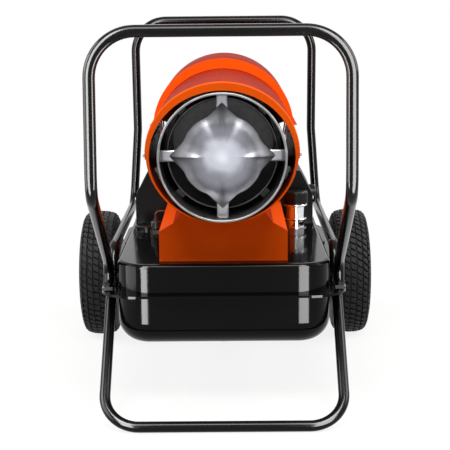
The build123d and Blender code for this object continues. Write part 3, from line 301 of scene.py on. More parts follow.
@dataclass(frozen=True)
class HeatTintAndHighlight(Finish):
    """Bare stainless sheet whose oxide changes in rings round its hottest place, with a painted highlight,
    palest in the middle.
    """

    middle: Point = (0.0, 0.0, 437.0)
    # the pale first rings are a painted highlight; the greyer ones further out are heat tint
    rings: tuple[tuple[float, str], ...] = ((0.0, "#EDEEF6"), (20.0, "#CDCFDA"), (40.0, "#8C8D95"),
                                            (54.0, "#7E7F86"), (68.0, "#C4C5CA"))
    reach: float = 90.0
    drift: float = 0.32

    def tint(self, tree: Tree, strength: Socket) -> Socket:
        """Gives the rings of tint and the painted highlight at their middle, whose radii are millimetres,
        pushed about by a soft noise.

        Args:
            tree: The material's nodes.
            strength: The noise of the patches, which the rings don't follow.

        Returns:
            The colour.
        """
        place = object_place(tree)
        flat = add_node(tree, "ShaderNodeVectorMath", {"operation": "MULTIPLY"},
                        {0: place, 1: (1.0, 0.0, 1.0)})
        away = add_node(tree, "ShaderNodeVectorMath", {"operation": "DISTANCE"},
                        {0: flat.outputs["Vector"], 1: tuple(part * MM for part in self.middle)})
        share = add_node(tree, "ShaderNodeMath", {"operation": "MULTIPLY_ADD"},
                         {0: away.outputs["Value"], 1: per_metre(self.reach), 2: -self.drift / 2})
        moved = add_node(tree, "ShaderNodeMath", {"operation": "MULTIPLY_ADD"},
                         {0: noise(tree, place, self.patches.size, 3.0), 1: self.drift,
                          2: share.outputs[0]})
        rings = (*self.rings, (self.reach, self.colour))
        stops = [(radius / self.reach, srgb(colour)) for radius, colour in rings]
        return colour_ramp(tree, moved.outputs[0], stops, "EASE")


# Powder coat baked on pressed sheet: satin, with a slight orange peel, and a painted dark red shade at low
# angles.
ORANGE_POWDER = Finish(
    "orange_powder_coat_baked", "#EE5A10", 0.36, Relief(Grain.ORANGE_PEEL, 3.0, 0.02),
    Patches("#DE4C0A", 120.0, 0.5), ior=1.02, grazing_shade_colour="#8E200A")
# Gloss powder coat on the deep drawn tank: mirror like, gently rippled by drawing and peel.
BLACK_GLOSS = Finish(
    "black_powder_coat_gloss", "#060607", 0.10, Relief(Grain.ORANGE_PEEL, 14.0, 0.05),
    Patches("#0C0C0B", 90.0), ior=1.19)
# The same powder on tubes, welds and rear guard: a little duller, with light along the bends.
BLACK_TUBE = Finish(
    "black_powder_coat_tube", "#08080A", 0.16, Relief(Grain.ORANGE_PEEL, 6.0, 0.012),
    Patches("#0E0E0E", 60.0), ior=1.24)
# Cold rolled stainless sheet, pressed: satin, with a greyer ring where the oxide is thicker and a painted
# highlight, pale bluish white, in the middle.
STAINLESS = HeatTintAndHighlight(
    "stainless_sheet_pressed", "#A9AAAE", 0.34, Relief(Grain.BRUSHED, 1.6, 0.004, (1.0, 1.0, 0.15)),
    Patches(size=38.0), metallic=1.0)
# Hot dip aluminised steel: silver grey, with a crystal pattern a few millimetres across.
ALUMINISED = Finish(
    "aluminised_steel_rolled", "#A3A4A7", 0.40, Relief(Grain.SPANGLE, 7.0, 0.01),
    Patches("#858380", 18.0, 0.9), metallic=1.0)
# Liner and burner head after firing: grey steel with brown patches of oxide.
FIRED_STEEL = Finish(
    "stainless_liner_heat_tinted", "#7C7B7E", 0.42, Relief(Grain.SAND, 2.0, 0.01),
    Patches("#544D4A", 34.0, 1.0), metallic=1.0)
# Bolts blacked in hot salts and oiled: dark, with a low metallic gleam on their edges.
BLACK_OXIDE = Finish(
    "steel_black_oxide", "#2C2C2E", 0.34, Relief(Grain.SAND, 0.8, 0.004), Patches("#1D1D1F", 7.0),
    metallic=1.0)
# Bright zinc plate on fasteners, brackets, axle, motor shaft, strainer and drain plug.
ZINC = Finish(
    "zinc_plate_bright", "#C6C9CF", 0.26, Relief(Grain.SAND, 0.8, 0.004), Patches("#A9A7A0", 8.0),
    metallic=1.0)
# Chrome plate on the filler neck and the pressure gauge's case: a clean mirror.
CHROME = Finish(
    "chrome_plate_polished", "#E4E5E8", 0.07, Relief(Grain.ORANGE_PEEL, 4.0, 0.006),
    Patches("#CFCFD2", 12.0), metallic=1.0)
# Turned brass, lightly dulled.
BRASS = Finish(
    "brass_turned", "#C9A55B", 0.28, Relief(Grain.SAND, 0.7, 0.006), Patches("#A8853F", 6.0), metallic=1.0)
# Drawn copper line, aged to a dark brown that still gleams along its bends.
COPPER = Finish(
    "copper_line_aged", "#4E342A", 0.34, Relief(Grain.SAND, 1.0, 0.005), Patches("#35251F", 14.0, 0.7),
    metallic=1.0)
# Die cast aluminium: pale, with a fine pebbled skin that breaks up its gloss.
DIE_CAST = Finish(
    "aluminium_die_cast", "#AFB1B3", 0.48, Relief(Grain.SAND, 1.1, 0.03), Patches("#939599", 20.0),
    metallic=1.0)
# Grey iron of motor and pump under a thin dark machine enamel.
IRON_ENAMEL = Finish(
    "grey_iron_enamelled", "#2B2D2F", 0.45, Relief(Grain.SAND, 1.6, 0.05), Patches("#1D1E20", 16.0, 0.8),
    coat=0.15)
# Black ABS from a spark eroded mould: low sheen, no clear reflections.
ABS_BLACK = Finish(
    "abs_black_moulded", "#0D0E0F", 0.38, Relief(Grain.SPARK, 1.0, 0.02), Patches("#080809", 25.0),
    ior=1.26)
# Black nylon of cap, controls, gauge body and plugs, a little glossier than the covers.
NYLON_BLACK = Finish(
    "nylon_black_moulded", "#0C0C0D", 0.28, Relief(Grain.SPARK, 0.8, 0.01), Patches("#121213", 10.0),
    ior=1.34)
# Smoked nylon of the filter's bowl: dark amber, with a waxy gleam.
NYLON_SMOKED = Finish(
    "nylon_smoked_moulded", "#2B2620", 0.24, Relief(Grain.SPARK, 0.9, 0.008), Patches("#1D1A16", 9.0),
    ior=1.45)
# Natural nylon of the gauge's float: milky and waxy.
NYLON_NATURAL = Finish(
    "nylon_natural_moulded", "#D9D0B8", 0.38, Relief(Grain.SPARK, 0.9, 0.01), Patches("#C9BC9A", 9.0),
    ior=1.53)
# Red pigmented ABS from a polished mould: the rocker, and the gauge's pointer and empty mark.
ABS_RED = Finish(
    "abs_red_moulded", "#B5140E", 0.25, Relief(Grain.SPARK, 0.9, 0.006), Patches("#9A0F0B", 7.0), ior=1.54)
# Tyre rubber: dark grey with a dusty bloom in soft patches.
TYRE = Finish(
    "tyre_rubber_moulded", "#1B1C1E", 0.62, Relief(Grain.SAND, 1.8, 0.08), Patches("#2A2B2D", 12.0, 0.9),
    ior=1.30)
# Nitrile of the gasket and the air hose.
NITRILE = Finish(
    "nitrile_rubber_moulded", "#141415", 0.58, Relief(Grain.SAND, 1.2, 0.02), Patches("#202022", 9.0),
    ior=1.52)
# Glazed ceramic of the electrode rods.
CERAMIC = Finish(
    "alumina_ceramic_glazed", "#E9E4D8", 0.12, Relief(Grain.ORANGE_PEEL, 3.0, 0.01),
    Patches("#D8CFBC", 9.0), ior=1.6, coat=0.4)
# Pressed wool felt of the intake filter.
FELT = Finish(
    "wool_felt_pressed", "#8E8878", 0.95, Relief(Grain.FIBRE, 1.0, 0.25), Patches("#716B5C", 5.0, 1.0),
    ior=1.4)
# Solder masked circuit board.
BOARD = Finish(
    "epoxy_board_solder_masked", "#0F4A24", 0.30, Relief(Grain.SPARK, 2.0, 0.02),
    Patches("#17602F", 3.0, 1.0), coat=0.3)
# Clear acrylic of the gauge lenses.
ACRYLIC = Finish(
    "acrylic_clear_moulded", "#F4F7F8", 0.03, Relief(), Patches("#EDF2F3"), ior=1.49, transmission=1.0)
# White printed enamel of the dials, and of the marks beside the controls.
DIAL_WHITE = Finish(
    "enamel_white_printed", "#E8E8E4", 0.40, Relief(Grain.ORANGE_PEEL, 2.0, 0.004), Patches("#DEDDD6", 8.0))
# Black print of the dials' marks, also painted shade in each screw's cross recess.
BLACK_PRINT_AND_SHADE = Finish("black_ink_print_and_painted_shade", "#101010", 0.50, Relief(), Patches("#181818", 4.0))


# ---- mesh helpers
def add_object(name: str, data: bpy.types.ID) -> bpy.types.Object:
    """Puts a mesh, light or camera into the scene.

    Args:
        name: The object's name.
        data: What it shows.

    Returns:
        The object.
    """
    made = bpy.data.objects.new(name, data)
    bpy.context.scene.collection.objects.link(made)
    return made


def dress(finish: Finish, *names: str) -> None:
    """Gives CAD nodes a finish and smooth shading.

    Args:
        finish: What they are made of.
        names: The nodes.
    """
    for name in names:
        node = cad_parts[name]
        node.data.materials.clear()
        node.data.materials.append(finish.material())
        smooth_by_angle(node)
        LOG.info("node %s dressed in %s", name, finish.name)


def smooth_by_angle(piece: bpy.types.Object, degrees: float = SMOOTH_DEGREES) -> None:
    """Shades a mesh smooth across shallow edges and leaves its sharp ones.

    Args:
        piece: The mesh object.
        degrees: The steepest edge that is smoothed.
    """
    mesh = piece.data
    mesh.shade_smooth()
    mesh.set_sharp_from_angle(angle=math.radians(degrees))


def new_piece(name: str, work: BMesh, finish: Finish, body: str = "heater",
              degrees: float = SMOOTH_DEGREES) -> bpy.types.Object:
    """Turns a bmesh into a finished piece that rides on a body.

    Args:
        name: The piece's name.
        work: Its geometry in metres, in the object's frame. It is freed.
        finish: What it is made of.
        body: The body that carries it.
        degrees: The steepest edge that is shaded smooth.

    Returns:
        The new object.
    """
    bmesh.ops.recalc_face_normals(work, faces=work.faces)
    mesh = bpy.data.meshes.new(name)
    work.to_mesh(mesh)
    work.free()
    piece = add_object(name, mesh)
    mesh.materials.append(finish.material())
    smooth_by_angle(piece, degrees)
    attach(piece, body)
    LOG.info("piece %s made of %s", name, finish.name)
    return piece


def full_turn(steps: int) -> list[float]:
    """Gives evenly spaced angles round a circle, in radians."""
    return [2 * math.pi * step / steps for step in range(steps)]


def smooth_step(low: float, high: float, value: float) -> float:
    """Rises smoothly from zero at one value to one at another."""
    share = min(max((value - low) / (high - low), 0.0), 1.0)
    return share * share * (3.0 - 2.0 * share)


def grid_faces(work: BMesh, rows: Sequence[Sequence[bmesh.types.BMVert]], closed: bool = False) -> None:
    """Joins rows of vertices with quads.

    Args:
        work: The bmesh that holds them.
        rows: Rows of equal length.
        closed: True to join the last vertex of a row to its first.
    """
    for first, second in zip(rows, rows[1:]):
        count = len(first)
        for index in range(count if closed else count - 1):
            other = (index + 1) % count
            corners = []
            for vert in (first[index], first[other], second[other], second[index]):
                if vert not in corners:
                    corners.append(vert)
            if len(corners) > 2:
                work.faces.new(corners)


def lathe(work: BMesh, profile: Sequence[Pair], at: Point, axis: str = "Z", segments: int = 48) -> None:
    """Adds a turned form.

    Args:
        work: The bmesh that gets it.
        profile: Radius and height pairs in millimetres. A ring's last pair is its first.
        at: The profile's origin in millimetres.
        axis: The axis that it is turned about, with a minus sign to face it backwards.
        segments: Steps round the axis.
    """
    hinge = {"X": (0, 1, 0), "Y": (-1, 0, 0), "Z": (0, 0, 1)}[axis[-1]]
    spin = Matrix.Rotation(0.0 if axis[-1] == "Z" else math.pi / 2, 3, Vector(hinge))
    sign = -1.0 if axis.startswith("-") else 1.0
    is_ring = profile[0] == profile[-1]
    rows = []
    for radius, height in profile[:-1] if is_ring else profile:
        spots = [Vector((radius * math.cos(turn), radius * math.sin(turn), sign * height))
                 for turn in full_turn(segments)]
        rows.append([work.verts.new((spin @ spot + Vector(at)) * MM) for spot in spots])
    if is_ring:
        rows.append(rows[0])
    else:
        work.faces.new(rows[0])
        work.faces.new(rows[-1])
    grid_faces(work, rows, closed=True)


def turned_piece(name: str, profile: Sequence[Pair], at: Point, finish: Finish,
                 axis: str = "Y", segments: int = 48) -> None:
    """Adds a turned piece that rides on the heater's body.

    Args:
        name: The piece's name.
        profile: Radius and height pairs in millimetres.
        at: The profile's origin in millimetres.
        finish: What it is made of.
        axis: The axis that it is turned about.
        segments: Steps round the axis.
    """
    work = bmesh.new()
    lathe(work, profile, at, axis, segments)
    new_piece(name, work, finish)


def bar(work: BMesh, at: Point, size: Point, turn: float = 0.0, axis: str = "Z",
        pivot: Point | None = None) -> None:
    """Adds a small bar with bevelled edges.

    Args:
        work: The bmesh that gets it.
        at: Its middle in millimetres.
        size: Its three lengths in millimetres.
        turn: Degrees that it is turned about the pivot.
        axis: The axis that it is turned about.
        pivot: The point that it is turned about, or None for its own middle.
    """
    centre = Vector(pivot if pivot is not None else at)
    place = (Matrix.Translation(centre * MM) @ Matrix.Rotation(math.radians(turn), 4, axis)
             @ Matrix.Translation((Vector(at) - centre) * MM)
             @ Matrix.Diagonal((*(Vector(size) * MM), 1.0)))
    made = bmesh.ops.create_cube(work, size=1.0, matrix=place)
    edges = list(dict.fromkeys(edge for vert in made["verts"] for edge in vert.link_edges))
    bmesh.ops.bevel(work, geom=edges, offset=min(size) * BEVEL_SHARE * MM, segments=2, affect="EDGES")


def weld(work: BMesh, path: Sequence[Point], radius: float) -> None:
    """Adds a weld bead with its ripples along a line of points.

    Args:
        work: The bmesh that gets it.
        path: Evenly spaced points in millimetres.
        radius: The bead's radius in millimetres.
    """
    rows = []
    last = len(path) - 1
    for index, at in enumerate(path):
        ahead = Vector(path[min(index + 1, last)]) - Vector(path[max(index - 1, 0)])
        heading = ahead.to_track_quat("Z", "Y").to_matrix()
        swell = radius * (1.0 - BEAD_RIPPLE + BEAD_RIPPLE * math.cos(index * math.pi / 2))
        if index in (0, last):
            swell *= BEAD_END
        spots = [Vector((swell * math.cos(turn), swell * math.sin(turn), 0))
                 for turn in full_turn(BEAD_SIDES)]
        rows.append([work.verts.new((Vector(at) + heading @ spot) * MM) for spot in spots])
    grid_faces(work, rows, closed=True)
    work.faces.new(rows[0])
    work.faces.new(rows[-1])


# ---- sub-assemblies
@dataclass
class Barrel:
    """The two lapped shells with their screws."""

    def build(self) -> None:
        """Dresses the shells and screws."""
        dress(ORANGE_POWDER, "upper_shell", "lower_shell")
        dress(ZINC, "shell_screws")


@dataclass
class Deflector:
    """The pressed cross in the chamber's mouth. Millimetres, and radians from the nearest arm."""

    centre_z: float = 437.0
    rim_y: float = -232.0
    rise: float = 22.0
    lobe_r: float = 67.0
    cusp_r: float = 84.0
    arm_half: float = 9.5
    wall_r: float = 102.3
    sheet: float = 1.2
    tab: float = 15.0
    cusp_spread: float = 0.19
    cusp_power: float = 1.15
    waist: float = 2.0
    waist_at: float = 0.38
    waist_spread: float = 0.14
    dome_power: float = 2.1
    ridge: float = 5.0
    ridge_spread: float = 6.5
    ridge_start: float = 16.0
    ridge_full: float = 62.0
    arm_profile: tuple[Pair, ...] = ((60.0, 2.6), (74.0, 1.4), (84.0, 0.4), (94.0, 0.0))
    tab_bend: tuple[Pair, ...] = ((3.2, 0.0), (1.3, 1.0), (0.7, 3.0))
    steps: int = 288
    rings: int = 56

    def from_arm(self, angle: float) -> float:
        """Angle to the nearest of the four arms, in radians."""
        return abs((angle + math.pi / 4) % (math.pi / 2) - math.pi / 4)

    def outline(self, angle: float) -> float:
        """Gives the edge of the pressed dome, which is drawn out in an ogee at each arm.

        Args:
            angle: Angle from an arm, in radians.

        Returns:
            Its radius in millimetres.
        """
        away = self.from_arm(angle)
        drawn = (self.cusp_r - self.lobe_r) * math.exp(-(away / self.cusp_spread) ** self.cusp_power)
        pinch = self.waist * math.exp(-((away - self.waist_at) / self.waist_spread) ** 2)
        return self.lobe_r + drawn - pinch

    def height(self, share: float, angle: float) -> float:
        """How far the sheet stands towards the viewer.

        Args:
            share: Distance from the middle as a share of the outline.
            angle: Angle from an arm, in radians.

        Returns:
            Height above the rim in millimetres.
        """
        away = self.from_arm(angle)
        radius = share * self.outline(angle)
        along, across = radius * math.cos(away), radius * math.sin(away)
        dome = self.rise * (1.0 - share ** self.dome_power)
        fade = smooth_step(self.ridge_start, self.ridge_full, along)
        ridge = self.ridge * fade * math.exp(-across / self.ridge_spread) * (1.0 - 0.5 * share ** 8)
        return dome + ridge

    def build(self) -> None:
        """Builds the pressing and lets it stand for the plain deflector."""
        work = bmesh.new()
        middle = work.verts.new(Vector((0, self.rim_y - self.rise, self.centre_z)) * MM)
        rows = []
        for ring in range(1, self.rings + 1):
            share = ring / self.rings
            row = []
            for angle in full_turn(self.steps):
                radius = share * self.outline(angle)
                y = self.rim_y - self.height(share, angle)
                spot = Vector((radius * math.sin(angle), y, self.centre_z + radius * math.cos(angle)))
                row.append(work.verts.new(spot * MM))
            rows.append(row)
        for index in range(self.steps):
            work.faces.new((middle, rows[0][index], rows[0][(index + 1) % self.steps]))
        grid_faces(work, rows, closed=True)
        for turn in range(4):
            self.add_arm(work, turn * math.pi / 2)
        piece = new_piece("flame_deflector_pressing", work, STAINLESS, degrees=40.0)
        sheet = piece.modifiers.new("sheet", "SOLIDIFY")
        sheet.thickness = self.sheet * MM
        sheet.offset = 1.0
        sheet.use_even_offset = True
        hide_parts("flame_deflector")

    def add_arm(self, work: BMesh, turn: float) -> None:
        """Adds one flat arm and the tab that it bends back along the wall.

        Args:
            work: The deflector's bmesh.
            turn: The arm's angle from straight up.
        """
        spin = Matrix.Rotation(turn, 3, "Y")
        bend = [(self.wall_r - inset, back) for inset, back in self.tab_bend]
        rows = []
        for radius, back in (*self.arm_profile, *bend, (bend[-1][0], self.tab)):
            follows_wall = radius > self.wall_r - 2.0
            row = []
            for x in (share * self.arm_half for share in (-1.0, -0.5, 0.0, 0.5, 1.0)):
                spot = spin @ Vector((x, 0, math.sqrt(radius ** 2 - x ** 2) if follows_wall else radius))
                row.append(work.verts.new((spot + Vector((0, self.rim_y + back, self.centre_z))) * MM))
            rows.append(row)
        grid_faces(work, rows)


@dataclass
class CombustionChamber:
    """The cylinders, back plate and spacers."""

    def build(self) -> None:
        """Dresses the chamber's pieces."""
        dress(ALUMINISED, "chamber_outer", "chamber_back_plate")
        dress(FIRED_STEEL, "chamber_inner")
        dress(ZINC, "chamber_spacers")


@dataclass
class Burner:
    """The burner head with its nozzle, electrodes and flame sensor."""

    def build(self) -> None:
        """Dresses the burner's pieces."""
        dress(FIRED_STEEL, "burner_head")
        dress(DIE_CAST, "nozzle_adaptor")
        dress(BRASS, "nozzle")
        dress(CERAMIC, "spark_electrodes")
        dress(NYLON_BLACK, "photocell")
        dress(ZINC, "photocell_bracket")


@dataclass
class AirUnit:
    """Motor, fan, pump, its gauge and the rear guard. Millimetres and degrees."""

    dial_at: Point = (0.0, 351.5, 505.0)
    dial_r: float = 13.5
    dial: tuple[Pair, ...] = ((13.5, 0.0), (13.5, 0.5), (13.2, 0.7))
    marks: int = 9
    mark_lengths: Pair = (3.4, 2.0)
    sweep: float = 270.0
    needle_length: float = 13.0
    needle_turn: float = -128.0
    bezel: tuple[Pair, ...] = ((16.6, -0.8), (16.9, 0.6), (16.2, 2.4), (14.8, 2.9), (13.9, 2.4),
                               (13.7, 0.6), (16.6, -0.8))

    def build(self) -> None:
        """Dresses the moving air and pump pieces, and builds the pump's gauge face."""
        self.add_gauge_face()
        dress(IRON_ENAMEL, "motor", "pump_body", "pump_rotor")
        dress(ZINC, "motor_bracket", "motor_shaft")
        dress(DIE_CAST, "fan", "pump_cover")
        dress(NYLON_BLACK, "pump_vanes")
        dress(FELT, "intake_filter")
        dress(CHROME, "pressure_gauge")
        dress(BLACK_TUBE, "rear_guard")
        dress(NITRILE, "air_hose")
        dress(COPPER, "fuel_line")

    def add_gauge_face(self) -> None:
        """Builds the gauge's dial, marks, needle, bezel and lens, which face the rear."""
        x, y, z = self.dial_at
        turned_piece("pressure_gauge_dial", self.dial, self.dial_at, DIAL_WHITE)
        marks = bmesh.new()
        lathe(marks, ((1.8, 0.6), (1.8, 1.8), (1.2, 2.3)), self.dial_at, "Y", 20)
        for index in range(self.marks):
            length = self.mark_lengths[index % 2]
            bar(marks, (x, y + 0.8, z + self.dial_r - 1.4 - length / 2), (0.7, 0.4, length),
                index * self.sweep / (self.marks - 1) - self.sweep / 2, "Y", self.dial_at)
        bar(marks, (x, y + 1.4, z + 3.0), (0.9, 0.5, self.needle_length), self.needle_turn, "Y", self.dial_at)
        new_piece("pressure_gauge_marks", marks, BLACK_PRINT_AND_SHADE)
        turned_piece("pressure_gauge_bezel", self.bezel, self.dial_at, CHROME, segments=64)
        turned_piece("pressure_gauge_lens", ((13.8, 2.0), (13.4, 2.5), (8.0, 2.9), (3.0, 3.1)),
                     self.dial_at, ACRYLIC)


@dataclass
class FuelTank:
    """The tank halves with filler, cap, gauge, filter and drain. Millimetres and degrees."""

    gauge_at: Point = (-146.0, 104.0, 253.0)
    gauge_r: float = 19.6
    marks: int = 9
    mark_lengths: tuple[float, ...] = (5.0, 2.2, 3.6, 2.2)
    sweep: float = 90.0
    rim: tuple[Pair, ...] = ((22.3, 5.5), (22.6, 8.0), (22.2, 9.2), (21.0, 9.5), (20.2, 9.1), (22.3, 5.5))

    def build(self) -> None:
        """Dresses the tank's pieces and builds the fuel gauge's face."""
        self.add_gauge_face()
        dress(BLACK_GLOSS, "tank_top_half", "tank_bottom_half")
        dress(CHROME, "filler_neck")
        dress(ZINC, "filler_strainer", "drain_plug")
        dress(NYLON_BLACK, "fuel_cap", "fuel_gauge_body")
        dress(NITRILE, "cap_gasket")
        dress(ABS_RED, "fuel_gauge_pointer")
        dress(ACRYLIC, "fuel_gauge_lens")
        dress(NYLON_NATURAL, "fuel_gauge_float")
        dress(NYLON_SMOKED, "fuel_filter")

    def add_gauge_face(self) -> None:
        """Builds the fuel gauge's dial, its marks from empty to full, and the lens's rim."""
        x, y, z = self.gauge_at
        face = ((2.0, 0.05), (self.gauge_r, 0.05), (self.gauge_r, 0.4), (2.0, 0.5), (2.0, 0.05))
        turned_piece("fuel_gauge_dial", face, self.gauge_at, DIAL_WHITE, axis="Z", segments=64)
        marks, empty_mark = bmesh.new(), bmesh.new()
        for index in range(self.marks):
            length = self.mark_lengths[index % 4]
            turn = self.sweep / 2 - index * self.sweep / (self.marks - 1)
            bar(marks if index else empty_mark, (x, y + self.gauge_r - 1.2 - length / 2, z + 0.6),
                (1.0, length, 0.3), turn, "Z", self.gauge_at)
        bar(marks, (x, y - 8.0, z + 0.6), (9.0, 1.2, 0.3))
        new_piece("fuel_gauge_marks", marks, BLACK_PRINT_AND_SHADE)
        new_piece("fuel_gauge_empty_mark", empty_mark, ABS_RED)
        turned_piece("fuel_gauge_rim", self.rim, self.gauge_at, NYLON_BLACK, "Z", 64)


@dataclass
class TubeWork:
    """Handles, stand frame and their bolts. Millimetres."""

    tube_r: float = 9.0
    foot_x: float = 199.0
    foot_ys: Pair = (-125.0, -30.0)
    pad_top: float = 203.0
    rail: Point = (195.5, 336.0, 187.0)
    plug: tuple[Pair, ...] = ((7.2, -8.0), (7.2, 0.0), (9.3, 0.1), (9.5, 1.0), (9.2, 2.2), (7.6, 3.2),
                              (4.0, 3.9))
    bracket_ends: Pair = (262.0, 318.0)
    bracket_top: float = 178.2
    bracket_half: float = 2.2
    foot_bead: float = 1.5
    bracket_bead: float = 1.4
    foot_steps: int = 56
    bracket_steps: int = 40

    def build(self) -> None:
        """Dresses the tube work, and adds its welds and the plugs in the rails' ends."""
        self.add_welds()
        x, y, z = self.rail
        for side, sign in (("left", -1), ("right", 1)):
            turned_piece(f"rail_end_plug_{side}", self.plug, (sign * x, y, z), NYLON_BLACK,
                         segments=40)
        dress(BLACK_TUBE, "front_handle", "rear_handle", "wheel_frame")
        dress(BLACK_OXIDE, "frame_bolts")

    def add_welds(self) -> None:
        """Adds the weld round each foot and along each axle bracket."""
        beads = bmesh.new()
        around = self.tube_r + 0.4
        start, end = self.bracket_ends
        turns = [2 * math.pi * step / self.foot_steps for step in range(self.foot_steps + 1)]
        run = [start + (end - start) * step / self.bracket_steps for step in range(self.bracket_steps + 1)]
        for sign in (-1, 1):
            for y in self.foot_ys:
                weld(beads, [(sign * self.foot_x + around * math.cos(turn), y + around * math.sin(turn),
                              self.pad_top + 0.5) for turn in turns], self.foot_bead)
            for face in (-self.bracket_half, self.bracket_half):
                x = sign * self.rail[0] + face
                weld(beads, [(x, y, self.bracket_top) for y in run], self.bracket_bead)
        new_piece("frame_and_handle_welds", beads, BLACK_TUBE)


@dataclass
class Controls:
    """Side covers with thermostat, switch, gland and what they hide. Millimetres and degrees."""

    face_x: float = 173.0
    print_half: float = 0.15
    knob_at: Pair = (320.0, 286.0)
    knob_front: float = 15.4
    scale_r: float = 20.6
    scale_marks: int = 10
    scale_turn: float = 30.0
    switch_at: Pair = (245.0, 286.0)
    mark_offset: float = 20.0
    screw_ys: Pair = (178.0, 366.0)
    screw_zs: Pair = (260.0, 300.0)

    def build(self) -> None:
        """Dresses the covers and controls, and adds their marks and screws."""
        self.add_knob_marks()
        self.add_switch_marks()
        self.add_cover_screws()
        dress(ABS_BLACK, "side_cover_left", "side_cover_right")
        dress(NYLON_BLACK, "thermostat", "thermostat_knob", "switch_housing", "cord_gland", "ignition_module")
        dress(ABS_RED, "switch_rocker")
        dress(BOARD, "control_board")

    def add_knob_marks(self) -> None:
        """Adds the scale over the knob's 270 degrees, from off at the top, and the line on the knob."""
        y, z = self.knob_at
        scale, line = bmesh.new(), bmesh.new()
        for index in range(self.scale_marks):
            length = 1.6 + 0.45 * index
            bar(scale, (self.face_x + self.print_half, y, z + self.scale_r + length / 2),
                (2 * self.print_half, 1.1, length), index * self.scale_turn, "X", (self.face_x, y, z))
        new_piece("thermostat_scale", scale, DIAL_WHITE)
        bar(line, (self.face_x + self.knob_front, y, z + 10.0), (2 * self.print_half, 1.4, 9.0))
        new_piece("thermostat_knob_line", line, DIAL_WHITE, body="knob")

    def add_switch_marks(self) -> None:
        """Adds the off mark beside the rocker's side that is in at rest, and the on mark opposite."""
        y, z = self.switch_at
        marks = bmesh.new()
        lathe(marks, ((2.4, 0.0), (3.4, 0.0), (3.4, 0.3), (2.4, 0.3), (2.4, 0.0)),
              (self.face_x, y - self.mark_offset, z), "X", 32)
        bar(marks, (self.face_x + self.print_half, y + self.mark_offset, z), (2 * self.print_half, 1.2, 6.0))
        new_piece("switch_marks", marks, DIAL_WHITE)

    def add_cover_screws(self) -> None:
        """Adds pan head screws to both covers, with black bars in each head as painted shade for its cross
        recess.
        """
        heads, recess_shade = bmesh.new(), bmesh.new()
        profile = ((4.2, 0.0), (4.2, 0.6), (3.8, 1.5), (2.8, 2.1), (1.4, 2.4))
        for sign, z, y in product((-1, 1), self.screw_zs, self.screw_ys):
            lathe(heads, profile, (sign * self.face_x, y, z), "X" if sign > 0 else "-X", 28)
            for turn in (20.0, 110.0):
                # black bars stand for the cross recess as painted shade
                bar(recess_shade, (sign * (self.face_x + 2.3), y, z), (0.5, 0.9, 4.2), turn, "X")
        new_piece("cover_screw_heads", heads, ZINC)
        new_piece("cover_screw_recess_shade", recess_shade, BLACK_PRINT_AND_SHADE)


@dataclass(frozen=True)
class TreadRow:
    """One ring of tread blocks, in millimetres. The stagger is a share of the pitch."""

    run: float
    half_width: float
    stagger: float
    skew: float


